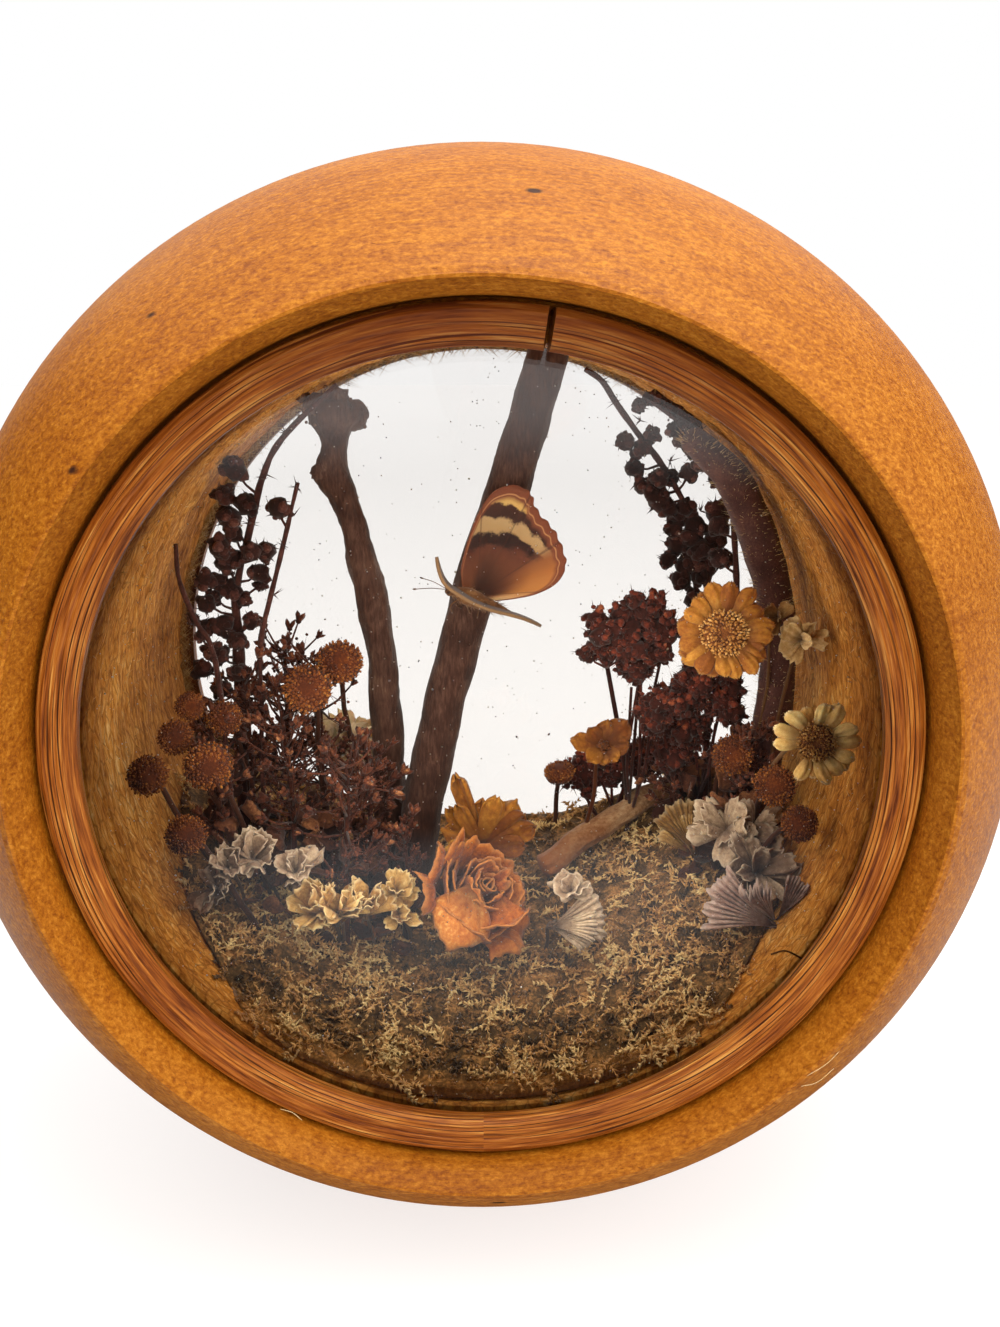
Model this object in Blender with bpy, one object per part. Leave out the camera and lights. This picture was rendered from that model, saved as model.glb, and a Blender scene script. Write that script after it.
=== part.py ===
"""A turned wooden porthole with a domed glass on each side. Between the two glasses stands a small
garden of dried flowers, twigs and moss with one mounted butterfly.

The origin is the middle of the flat base, +Z is up and the front faces -Y. Lengths and places in
this file are millimetres, and to_object turns them to metres.
"""

import math
import random

import bmesh
import bpy
from mathutils import Matrix, Vector, noise

MM = 0.001
GAP = 0.3  # air between pieces that touch
TRIM_GAP = 0.45  # air between the uneven moss and what stands in it

# Wooden body: a barrel round the Y axis, bored through and stepped at both ends for the glass
AXIS_HEIGHT = 85.8
BODY_RADIUS = 89.5
BODY_CURVE_REACH = 69.0
FACE_Y = 45.0
FACE_FOOT_Y = 39.6
STEP_RADIUS = 65.2
STEP_Y = 31.7
BORE_RADIUS = 59.5
BODY_SIDES = 44
BODY_STEPS = 5

# Glass domes
GLASS_RADIUS = 64.2
GLASS_THICKNESS = 2.0
GLASS_RISE = 11.7
GLASS_SIDES = 32
GLASS_RIM_Y = STEP_Y + GAP + GLASS_THICKNESS

# Bent rattan rings, each one strip whose ends meet near the top
RING_OUTER = 64.5
RING_INNER = 58.6
RING_FRONT_Y = 39.2
RING_EDGE = 0.6
RING_SIDES = 36
RING_JOINT_ANGLE = math.radians(10.7)
RING_JOINT_GAP = math.radians(0.7)

# Moss bed: low at the front, climbing to the back and up the walls of the bore
MOSS_END_Y = STEP_Y - 0.7
MOSS_RADIUS = BORE_RADIUS - 0.5
MOSS_HEIGHTS = ((-31.0, 29.8), (-12.0, 39.5), (0.0, 43.5), (12.0, 47.0), (31.0, 51.0))
MOSS_SIDE_CLIMB = 10.0
MOSS_LUMP = 1.1
MOSS_STATIONS = 11
MOSS_ACROSS = 15

THIN_STEM = 0.55
LUMP_ROOT = 0.5  # how far past a stem's middle a seed head starts
SOIL_REACH = 6.0  # how far a stem goes on below the moss before it is trimmed

# Colour and roughness of each kind of stuff
STUFF = {
    "honey_wood": ((0.45, 0.20, 0.05), 0.45),
    "clear_glass": ((0.90, 0.93, 0.92), 0.03),
    "rattan": ((0.42, 0.17, 0.05), 0.50),
    "moss": ((0.14, 0.10, 0.04), 0.95),
    "twig_bark": ((0.10, 0.045, 0.03), 0.85),
    "grey_bark": ((0.30, 0.19, 0.11), 0.85),
    "dark_seed": ((0.045, 0.018, 0.015), 0.80),
    "rust_flower": ((0.32, 0.09, 0.02), 0.90),
    "amber_petal": ((0.55, 0.24, 0.05), 0.75),
    "cream_petal": ((0.68, 0.54, 0.32), 0.80),
    "grey_petal": ((0.42, 0.34, 0.30), 0.85),
    "rose_petal": ((0.42, 0.13, 0.03), 0.70),
    "butterfly_scales": ((0.22, 0.11, 0.05), 0.80),
}


def material(kind):
    """The Principled material of one kind of stuff, made once."""
    if kind in bpy.data.materials:
        return bpy.data.materials[kind]
    colour, roughness = STUFF[kind]
    made = bpy.data.materials.new(kind)
    made.use_nodes = True
    shader = made.node_tree.nodes["Principled BSDF"]
    shader.inputs["Base Color"].default_value = (*colour, 1.0)
    shader.inputs["Roughness"].default_value = roughness
    return made


def to_object(name, shape, kind):
    """Turn a shape in millimetres into a named object in metres."""
    shape.transform(Matrix.Scale(MM, 4))
    bmesh.ops.recalc_face_normals(shape, faces=shape.faces)
    mesh = bpy.data.meshes.new(name)
    shape.to_mesh(mesh)
    shape.free()
    mesh.materials.append(material(kind))
    mesh.shade_smooth()
    mesh.set_sharp_from_angle(angle=math.radians(35))
    made = bpy.data.objects.new(name, mesh)
    bpy.context.scene.collection.objects.link(made)
    return made


def applied(target, operation, operands):
    """Give target the exact Boolean of itself and the operands, which are then removed."""
    group = bpy.data.collections.new("operands")
    for operand in operands:
        group.objects.link(operand)
    modifier = target.modifiers.new("join", "BOOLEAN")
    modifier.operation = operation
    modifier.solver = "EXACT"
    modifier.operand_type = "COLLECTION"
    modifier.collection = group
    graph = bpy.context.evaluated_depsgraph_get()
    mesh = bpy.data.meshes.new_from_object(target.evaluated_get(graph))
    target.modifiers.clear()
    target.data = mesh
    mesh.name = target.name
    bpy.data.collections.remove(group)
    for operand in operands:
        bpy.data.objects.remove(operand)
    return target


def grown(name, shapes, kind):
    """One solid from closed shapes that overlap, as they grew together, trimmed at the moss."""
    made = to_object(name, shapes[0], kind)
    rest = [to_object("rest", shape, kind) for shape in shapes[1:]]
    if rest:
        applied(made, "UNION", rest)
    return applied(made, "DIFFERENCE", [to_object("soil", moss_shape(TRIM_GAP), "moss")])


def turned(profile, sides, closed=True, start=0.0, sweep=2.0 * math.pi):
    """Spin a profile of (radius, y) round the body's axis, anticlockwise from the top."""
    shape = bmesh.new()
    verts = [shape.verts.new((0.0, y, radius)) for radius, y in profile]
    ends = verts + verts[:1] if closed else verts
    edges = [shape.edges.new(pair) for pair in zip(ends, ends[1:])]
    whole = sweep > 6.28
    if not whole:
        shape.faces.new(verts)
    if start:
        bmesh.ops.rotate(shape, verts=verts, cent=(0, 0, 0), matrix=Matrix.Rotation(start, 3, "Y"))
    geometry = verts + edges + list(shape.faces)
    bmesh.ops.spin(shape, geom=geometry, cent=(0, 0, 0), axis=(0, 1, 0), angle=sweep, steps=sides,
                   use_merge=whole)
    if whole:
        bmesh.ops.remove_doubles(shape, verts=shape.verts, dist=0.001)
    bmesh.ops.translate(shape, verts=shape.verts, vec=(0, 0, AXIS_HEIGHT))
    return shape


def rod(points, sides=6):
    """A closed rod through (x, y, z, radius) points, which run upwards."""
    path = [Vector(point) for point in points]
    shape = bmesh.new()
    rings = []
    for index, knot in enumerate(path):
        ahead = path[min(index + 1, len(path) - 1)].xyz - path[max(index - 1, 0)].xyz
        turn = Vector((0, 0, 1)).rotation_difference(ahead)
        ring = []
        for side in range(sides):
            angle = 2 * math.pi * side / sides
            spoke = Vector((math.cos(angle), math.sin(angle), 0)) * knot.w
            ring.append(shape.verts.new(knot.xyz + turn @ spoke))
        rings.append(ring)
    for low, high in zip(rings, rings[1:]):
        for side in range(sides):
            shape.faces.new((low[side - 1], low[side], high[side], high[side - 1]))
    shape.faces.new(reversed(rings[0]))
    shape.faces.new(rings[-1])
    return shape


def bead(place, radius):
    """A small 20-sided lump."""
    shape = bmesh.new()
    bmesh.ops.create_icosphere(shape, subdivisions=1, radius=radius)
    bmesh.ops.translate(shape, verts=shape.verts, vec=place)
    return shape


def lump(root, tip, radius):
    """A 20-sided seed head that starts inside the stem at root and reaches past tip."""
    start = Vector(root) - (Vector(tip) - Vector(root)).normalized() * LUMP_ROOT
    reach = Vector(tip) - start
    length = reach.length + radius
    shape = bmesh.new()
    bmesh.ops.create_icosphere(shape, subdivisions=1, radius=1.0)
    turn = Vector((0, 0, 1)).rotation_difference(reach).to_matrix().to_4x4()
    middle = start + reach.normalized() * (length / 2)
    shape.transform(Matrix.Translation(middle) @ turn @ Matrix.Diagonal((radius, radius, length / 2, 1)))
    return shape


def facing(place, toward, roll=0.0):
    """A placement whose Z axis looks along toward."""
    turn = Vector(toward).to_track_quat("Z", "Y").to_matrix().to_4x4()
    return Matrix.Translation(place) @ turn @ Matrix.Rotation(roll, 4, "Z")


def head(placement, profile, sides):
    """A round flower head: a profile of (radius, height) spun round its own Z axis."""
    shape = bmesh.new()
    verts = [shape.verts.new((radius, 0, height)) for radius, height in profile]
    edges = [shape.edges.new(pair) for pair in zip(verts, verts[1:])]
    bmesh.ops.spin(shape, geom=verts + edges, cent=(0, 0, 0), axis=(0, 0, 1), angle=2 * math.pi, steps=sides,
                   use_merge=True)
    bmesh.ops.remove_doubles(shape, verts=shape.verts, dist=0.001)
    shape.transform(placement)
    return shape


def plate(outline, thickness, placement):
    """A thin flat piece with the given outline, half its thickness to each side."""
    shape = bmesh.new()
    verts = [shape.verts.new((x, y, -thickness / 2)) for x, y in outline]
    face = shape.faces.new(verts)
    raised = bmesh.ops.extrude_face_region(shape, geom=[face])
    lifted = [item for item in raised["geom"] if isinstance(item, bmesh.types.BMVert)]
    bmesh.ops.translate(shape, verts=lifted, vec=(0, 0, thickness))
    shape.transform(placement)
    return shape


def body_radius(y):
    """Radius of the barrel at a depth from its middle."""
    return BODY_RADIUS * math.sqrt(1 - (y / BODY_CURVE_REACH) ** 2)


def dome_y(radius, rim_y):
    """Depth of a dome's outer surface at a radius, for a dome that bulges away from the middle."""
    sphere = (GLASS_RADIUS ** 2 + GLASS_RISE ** 2) / (2 * GLASS_RISE)
    rise = math.sqrt(sphere ** 2 - radius ** 2) - (sphere - GLASS_RISE)
    return rim_y + rise


def wood_body():
    """The turned body, with a flat sanded on its underside to stand on."""
    turns = [math.pi / 2 * index / BODY_STEPS for index in range(-BODY_STEPS, BODY_STEPS + 1)]
    depths = [FACE_Y * math.sin(turn) for turn in turns]
    outside = [(body_radius(y), y) for y in depths]
    inside = [(STEP_RADIUS, FACE_FOOT_Y), (STEP_RADIUS, STEP_Y), (BORE_RADIUS, STEP_Y)]
    profile = outside + inside + [(radius, -y) for radius, y in reversed(inside)]
    shape = turned(profile, BODY_SIDES)
    whole = list(shape.verts) + list(shape.edges) + list(shape.faces)
    cut = bmesh.ops.bisect_plane(shape, geom=whole, plane_co=(0, 0, 0), plane_no=(0, 0, -1), clear_outer=True)
    rim = [item for item in cut["geom_cut"] if isinstance(item, bmesh.types.BMEdge)]
    bmesh.ops.edgenet_fill(shape, edges=rim)
    return to_object("wood_body", shape, "honey_wood")


def glass_dome(name, side):
    """One domed glass; side is -1 at the front and 1 at the back."""
    radii = [GLASS_RADIUS * index / 3 for index in range(4)]
    outer = [(radius, side * dome_y(radius, GLASS_RIM_Y)) for radius in radii]
    inner = [(radius, y - side * GLASS_THICKNESS) for radius, y in reversed(outer)]
    return to_object(name, turned(outer + inner, GLASS_SIDES, closed=False), "clear_glass")


def rattan_ring(name, side):
    """One bent strip that holds a glass in its step, with a small open joint near the top."""
    seat_out = GLASS_RIM_Y + 2 * GAP
    seat_in = dome_y(RING_INNER, GLASS_RIM_Y) + GAP
    section = [(RING_OUTER, seat_out), (RING_INNER, seat_in), (RING_INNER, RING_FRONT_Y - RING_EDGE),
               (RING_INNER + RING_EDGE, RING_FRONT_Y), (RING_OUTER, RING_FRONT_Y)]
    profile = [(radius, side * y) for radius, y in section]
    start = RING_JOINT_ANGLE + RING_JOINT_GAP / 2
    shape = turned(profile, RING_SIDES, start=start, sweep=2 * math.pi - RING_JOINT_GAP)
    return to_object(name, shape, "rattan")


def moss_height(x, y):
    """Height of the moss over a spot: a slope to the back, a climb at the sides and soft lumps."""
    near, far = MOSS_HEIGHTS[0], MOSS_HEIGHTS[-1]
    for low, high in zip(MOSS_HEIGHTS, MOSS_HEIGHTS[1:]):
        if low[0] <= y <= high[0]:
            near, far = low, high
    share = min(max((y - near[0]) / (far[0] - near[0]), 0.0), 1.0)
    middle = near[1] + share * (far[1] - near[1])
    lump = MOSS_LUMP * noise.noise(Vector((x, y, 0)) / 9.0)
    return middle + MOSS_SIDE_CLIMB * (x / 40.0) ** 2 + lump


def moss_ring(y, clearance, radius):
    """Places round one cross-section of the bed: over its top, then back along the bore."""
    reach = MOSS_RADIUS
    for _ in range(8):
        edge_height = moss_height(reach, y)
        reach = math.sqrt(MOSS_RADIUS ** 2 - (edge_height - AXIS_HEIGHT) ** 2)
    across = [reach * (2 * index / (MOSS_ACROSS - 1) - 1) for index in range(MOSS_ACROSS)]
    ring = [Vector((x, y, moss_height(x, y) + clearance)) for x in across]
    swing = math.atan2(reach, AXIS_HEIGHT - moss_height(reach, y))
    under = MOSS_ACROSS - 3
    for index in range(1, under):
        angle = swing * (1 - 2 * index / under)
        ring.append(Vector((radius * math.sin(angle), y, AXIS_HEIGHT - radius * math.cos(angle))))
    return ring


def moss_shape(clearance=0.0):
    """The bed itself; with a clearance, the space below it that other pieces keep out of."""
    shape = bmesh.new()
    margin = SOIL_REACH if clearance else 0.0
    rings = []
    for station in range(MOSS_STATIONS):
        y = MOSS_END_Y * (2 * station / (MOSS_STATIONS - 1) - 1)
        ring = moss_ring(y, clearance, MOSS_RADIUS + margin)
        if clearance:
            left = ring[0] + Vector((-margin, 0, margin))
            right = ring[MOSS_ACROSS - 1] + Vector((margin, 0, margin))
            ring = [left, *ring[:MOSS_ACROSS], right, *ring[MOSS_ACROSS:]]
        rings.append(ring)
    if clearance:
        rings = [[place - Vector((0, margin, 0)) for place in rings[0]]] + rings
        rings.append([place + Vector((0, margin, 0)) for place in rings[-1]])
    loops = [[shape.verts.new(place) for place in ring] for ring in rings]
    for near, far in zip(loops, loops[1:]):
        for index in range(len(near)):
            shape.faces.new((near[index - 1], near[index], far[index], far[index - 1]))
    shape.faces.new(reversed(loops[0]))
    shape.faces.new(loops[-1])
    return shape


def moss_bed():
    """The bed of dried moss that everything is stuck in."""
    return to_object("moss_bed", moss_shape(), "moss")


def soil(x, y):
    """A place under the moss surface where a stem ends before it is trimmed."""
    return (x, y, moss_height(x, y) - SOIL_REACH)


# Twigs, each a list of (x, y, z, radius) from its foot up
KNOBBED_TWIG = ((-17.6, 12, 42, 3.3), (-18.2, 12, 66, 3.2), (-18.6, 12, 80, 3.0), (-19.2, 12, 92, 2.7),
                (-21.0, 12, 102, 3.0), (-23.2, 12, 112, 2.5), (-25.6, 12, 120, 2.9), (-26.3, 12, 125, 3.0),
                (-26.2, 12, 129, 2.8), (-25.9, 12, 133, 4.2), (-25.6, 12, 135.6, 2.8))
KNOBBED_TWIG_KNOBS = ((-28.8, 11.6, 134.0, 2.6), (-22.6, 12.4, 133.4, 3.0))
CENTRE_TWIG = ((-14.6, 6, 42, 3.8), (-11.8, 6, 60, 3.7), (-9.3, 6, 72, 3.8), (-5.8, 6, 87, 3.6),
               (-1.2, 6, 104, 3.8), (4.6, 6, 122, 3.7), (7.4, 6, 131, 3.6), (10.6, 6, 142, 3.5))
LOW_BRANCH = ((11.2, 10, 48.6, 2.9), (20.8, 14, 54.0, 2.7), (31.0, 19, 58.2, 2.6), (40.2, 23, 61.2, 2.7),
              (47.4, 26, 63.2, 2.5))
FUZZY_STEM = ((47.6, 4, 54, 3.0), (50.4, 4, 70, 3.1), (52.0, 4, 84, 3.2), (52.0, 4, 94, 3.2),
              (50.6, 4, 103, 3.2), (47.6, 2, 111.4, 3.2), (44.6, 0, 117.7, 3.1), (40.8, -2, 123.8, 2.9),
              (36.4, -4, 128.2, 2.4), (33.2, -5, 130.6, 1.9))


def twigs():
    """The four twigs and branches that give the garden its height."""
    shapes = [rod(KNOBBED_TWIG, sides=8)]
    shapes += [bead((x, y, z), radius) for x, y, z, radius in KNOBBED_TWIG_KNOBS]
    grown("left_knobbed_twig", shapes, "twig_bark")
    grown("centre_twig", [rod(CENTRE_TWIG, sides=8)], "twig_bark")
    grown("right_low_branch", [rod(LOW_BRANCH, sides=8)], "grey_bark")
    grown("right_fuzzy_stem", [rod(FUZZY_STEM, sides=8)], "twig_bark")


# Sprays of dark seed heads: the stem as (x, y, z, radius), then the heads as (x, y, z, radius)
LEFT_SPRAY_STEM = ((-44.6, 8, 58, 1.0), (-44.0, 8, 82, 1.0), (-43.5, 7, 94, 1.0), (-43.2, 6, 103, 1.0),
                   (-39.5, 5, 116, 0.9), (-37.3, 4, 123, 0.8), (-33.6, 3, 129.4, 0.7),
                   (-24.2, 3, 138.4, 0.6))
LEFT_SPRAY_HEADS = ((-42.0, 3, 124.0, 1.9), (-44.0, 4, 119.6, 2.0), (-43.6, 5, 115.4, 2.3),
                    (-37.8, 6, 110.0, 1.8), (-45.6, 5, 110.6, 2.2), (-38.8, 6, 105.6, 1.8),
                    (-48.4, 5, 104.6, 2.0), (-48.4, 5, 100.0, 1.8), (-41.0, 6, 98.6, 1.7),
                    (-48.6, 5, 95.6, 2.0), (-41.0, 6, 94.0, 1.6), (-49.2, 5, 89.6, 2.0))
LEFT_SIDE_STEM = ((-39.4, 0, 58, 0.7), (-38.7, 0, 84, 0.7), (-38.2, 0, 95, 0.7), (-33.6, 0, 112, 0.6),
                  (-30.8, 0, 121.6, 0.5))
LEFT_SIDE_HEADS = ((-34.6, 1, 117.6, 1.8), (-31.0, 0, 103.4, 0.9), (-40.4, 0, 89.0, 1.2))
LEFT_WALL_TWIG = ((-43.6, -3, 60, 0.7), (-45.0, -3, 86, 0.7), (-46.1, -3, 95, 0.7), (-48.4, -3, 99.4, 0.6),
                  (-50.8, -3, 106.6, 0.6), (-51.0, -3, 112.6, 0.5))
RIGHT_SPRAY_STEM = ((42.6, 18, 56, 1.0), (42.6, 18, 86, 1.0), (41.6, 18, 103, 1.0), (39.6, 18, 111.4, 0.9),
                    (36.0, 18, 118.2, 0.9), (32.0, 19, 124.5, 0.8), (26.6, 20, 131.6, 0.8),
                    (18.4, 20, 140.6, 0.7))
RIGHT_SPRAY_HEADS = ((26.0, 20, 127.6, 1.7), (31.4, 20, 129.2, 1.5), (28.0, 20, 121.6, 2.0),
                     (36.4, 18, 122.6, 1.8), (32.3, 19, 116.4, 2.2), (40.8, 18, 117.4, 1.8),
                     (36.2, 18, 111.6, 2.2), (37.0, 18, 106.2, 2.2), (43.6, 18, 107.4, 1.8),
                     (38.8, 18, 100.0, 2.0))
RIGHT_SIDE_STEM = ((47.0, 12, 62, 0.8), (47.0, 12, 90, 0.8), (45.6, 11, 103.5, 0.8), (43.2, 9, 118, 0.7),
                   (37.4, 7, 128.6, 0.6))
RIGHT_SIDE_HEADS = ((41.4, 11, 122.0, 1.9), (41.8, 11, 113.6, 2.2), (42.2, 11, 108.0, 1.9),
                    (33.8, 9, 131.6, 1.9), (38.0, 11, 125.4, 1.6))


def spray(name, stem, heads, kind):
    """A stem with its seed heads grown on."""
    shapes = [rod(stem, sides=4)]
    knots = [Vector(point) for point in stem]
    for x, y, z, radius in heads:
        below = z - radius
        near, far = [pair for pair in zip(knots, knots[1:]) if pair[0].z <= below][-1]
        root = near.lerp(far, min((below - near.z) / (far.z - near.z), 0.9)).xyz
        shapes.append(lump(root, (x, y, z), radius))
    grown(name, shapes, kind)


def sprays():
    """The dark sprays at the left and right walls."""
    spray("left_berry_spray", LEFT_SPRAY_STEM, LEFT_SPRAY_HEADS, "dark_seed")
    spray("left_side_berry_stem", LEFT_SIDE_STEM, LEFT_SIDE_HEADS, "dark_seed")
    spray("left_wall_twig", LEFT_WALL_TWIG, (), "dark_seed")
    spray("right_berry_spray", RIGHT_SPRAY_STEM, RIGHT_SPRAY_HEADS, "dark_seed")
    spray("right_side_berry_stem", RIGHT_SIDE_STEM, RIGHT_SIDE_HEADS, "dark_seed")


# Dock stems: foot on the moss, tip, and the seed of its pods' places
DOCK_STEMS = (((-33, -2), (-34.6, -2, 82), 1), ((-28, 5), (-29.6, 5, 90), 2), ((-24, -9), (-25.0, -9, 76), 3))
DOCK_PODS = 6
DOCK_REACH = 2.6


def dock_stems():
    """Three stalks of papery dock pods, between the left flowers."""
    for (x, y), top, seed in DOCK_STEMS:
        draw = random.Random(seed)
        foot = Vector(soil(x, y))
        tip = Vector(top)
        stem = ((*foot, 0.8), (*foot.lerp(tip, 0.5), 0.8), (*tip, 0.6))
        heads = []
        for index in range(DOCK_PODS):
            share = 0.5 + 0.5 * index / (DOCK_PODS - 1)
            angle = 2.4 * index + draw.uniform(-0.4, 0.4)
            out = Vector((math.cos(angle), 0.6 * math.sin(angle), 0.3)) * DOCK_REACH
            heads.append((*(foot.lerp(tip, share) + out), draw.uniform(1.1, 1.5)))
        spray("dock_stem_%d" % seed, stem, heads, "twig_bark")


# Button flowers: centre, radius and the way each one looks; the stem goes down to the given foot
LEFT_BUTTONS = (((-24.7, 0, 91.6), 3.8, (0.1, -0.8, 0.5), (-24.0, 1)),
                ((-29.4, -7, 88.6), 4.0, (-0.1, -0.9, 0.4), (-29.6, -5)),
                ((-44.0, -19, 79.2), 3.8, (0.3, -0.9, 0.1), (-37.0, -15)),
                ((-49.4, -17, 83.4), 2.8, (0.4, -0.9, 0.2), (-41.0, -12.5)),
                ((-51.4, -27, 80.4), 3.1, (0.5, -0.8, 0.1), (-43.5, -17)),
                ((-46.0, -27.5, 70.8), 3.1, (0.4, -0.8, 0.5), (-38.0, -23)),
                ((-48.8, -9, 86.2), 2.4, (0.4, -0.9, 0.2), (-44.6, -8)),
                ((-43.6, -7, 83.6), 2.9, (0.2, -0.9, 0.3), (-40.6, -6)))
RIGHT_BUTTONS = (((43.2, -4, 75.8), 3.3, (-0.1, -0.9, 0.3), (41.6, -3)),
                 ((48.6, -13, 73.4), 3.4, (-0.3, -0.9, 0.4), (45.4, -12)),
                 ((51.0, -21, 69.8), 3.0, (-0.5, -0.8, 0.2), (40.0, -18)),
                 ((14.4, 16, 66.0), 2.9, (-0.1, -0.3, 0.9), (13.8, 16.4)))
BUTTON_PROFILE = ((0.0, 0.36), (0.6, 0.42), (1.0, -0.02), (0.6, -0.48), (0.0, -0.56))
BUTTON_SIDES = 8


def button_flower(name, place, radius, toward, foot):
    """A tansy-like button: a low dimpled cushion on a thin stem."""
    placement = facing(place, toward)
    profile = [(radius * out, radius * up) for out, up in BUTTON_PROFILE]
    neck = placement @ Vector((0, 0, -0.4 * radius))
    base = Vector(soil(*foot))
    bend = base.lerp(neck, 0.6) + Vector((0, 0.4, 0))
    stem = rod(((*base, THIN_STEM), (*bend, THIN_STEM), (*neck, THIN_STEM)), sides=4)
    grown(name, [head(placement, profile, BUTTON_SIDES), stem], "rust_flower")


def button_flowers():
    """The rust-coloured buttons at both sides."""
    for side, rows in (("left", LEFT_BUTTONS), ("right", RIGHT_BUTTONS)):
        for number, row in enumerate(rows, start=1):
            button_flower("%s_button_%d" % (side, number), *row)


# Daisies: centre, radius, petals, disc radius, facing, foot, kind
DAISIES = (("amber_daisy", (39.4, -11, 99.0), 8.2, 13, 3.9, (-0.1, -0.95, 0.2), (37.6, -9), "amber_petal"),
           ("cream_daisy", (51.8, -27.5, 85.4), 6.4, 11, 3.2, (-0.2, -0.95, 0.1), (37.6, -23), "cream_petal"))
PETAL_THICKNESS = 0.6
PETAL_SPREAD = 0.84


def petal_outline(radius, petals, start):
    """One closed outline round all the petals of a flat daisy."""
    outline = []
    pitch = 2 * math.pi / petals
    for index in range(petals):
        middle = pitch * index
        half = pitch / 2 * PETAL_SPREAD
        for turn, reach in ((-half, 0.94), (0.0, 1.0), (half, 0.94)):
            length = radius * reach
            outline.append((length * math.cos(middle + turn), length * math.sin(middle + turn)))
        notch = middle + pitch / 2
        outline.append((start * math.cos(notch), start * math.sin(notch)))
    return outline


def daisies():
    """Two dried daisies that face out through the front glass."""
    for name, place, radius, petals, disc, toward, foot, kind in DAISIES:
        placement = facing(place, toward)
        flat = plate(petal_outline(radius, petals, disc * 0.8), PETAL_THICKNESS, placement)
        profile = ((0, 0.45 * disc), (0.6 * disc, 0.4 * disc), (disc, 0.05 * disc), (0.7 * disc, -0.45 * disc),
                   (0, -0.6 * disc))
        neck = placement @ Vector((0, 0, -0.4 * disc))
        base = Vector(soil(*foot))
        bend = base.lerp(neck, 0.7) + Vector((0, 1.2, 0))
        stem = rod(((*base, THIN_STEM), (*bend, THIN_STEM), (*neck, THIN_STEM)), sides=4)
        grown(name, [flat, head(placement, profile, 8), stem], kind)


# Rose: a bud with cupped petals round it, leaning to the viewer
ROSE_PLACE = (-1.6, -15.0, 55.0)
ROSE_TOWARD = (0.12, -0.72, 0.68)
ROSE_RADIUS = 9.6
ROSE_BUD = ((0, 5.6), (2.2, 5.2), (4.4, 2.6), (4.8, -1.5), (2.4, -6.0), (0, -7.0))
ROSE_PETALS = ((0.3, 1.00, 0.62), (1.9, 0.92, 0.66), (3.5, 1.00, 0.60), (5.0, 0.94, 0.64),
               (1.1, 0.68, 0.92), (3.9, 0.68, 0.95))


def cupped_petal(placement, angle, reach, rise):
    """A thick curved petal that stands round the flower's axis like a part of a bowl."""
    shape = bmesh.new()
    layers = []
    for skin in (0.0, 0.9):
        rows = []
        for lift in (0.0, 0.5, 1.0):
            row = []
            radius = ROSE_RADIUS * reach * (0.30 + 0.70 * math.sin(lift * 1.5)) - skin
            height = ROSE_RADIUS * (rise * lift ** 1.3 - 0.55) + 0.5 * skin
            for turn in (-0.72, -0.36, 0.0, 0.36, 0.72):
                droop = 0.10 * ROSE_RADIUS * lift * (turn / 0.72) ** 2
                around = angle + turn * (1.1 - 0.25 * lift)
                spot = (radius * math.cos(around), radius * math.sin(around), height - droop)
                row.append(shape.verts.new(spot))
            rows.append(row)
        layers.append(rows)
    for rows in layers:
        for low, high in zip(rows, rows[1:]):
            for index in range(4):
                shape.faces.new((low[index], low[index + 1], high[index + 1], high[index]))
    outer, inner = layers
    rims = [[rows[0] for rows in (outer, inner)], [rows[-1] for rows in (outer, inner)]]
    for end in (0, -1):
        rims.append([[row[end] for row in rows] for rows in (outer, inner)])
    for first, second in rims:
        for index in range(len(first) - 1):
            shape.faces.new((first[index], first[index + 1], second[index + 1], second[index]))
    shape.transform(placement)
    return shape


def rose():
    """The orange rose in the middle of the front."""
    placement = facing(ROSE_PLACE, ROSE_TOWARD)
    shapes = [head(placement, ROSE_BUD, 8)]
    shapes += [cupped_petal(placement, *petal) for petal in ROSE_PETALS]
    base = Vector(soil(ROSE_PLACE[0], ROSE_PLACE[1] + 5))
    neck = placement @ Vector((0, 0, -5.0))
    shapes.append(rod(((*base, 1.2), (*neck, 1.2)), sides=6))
    grown("rose", shapes, "rose_petal")


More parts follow.
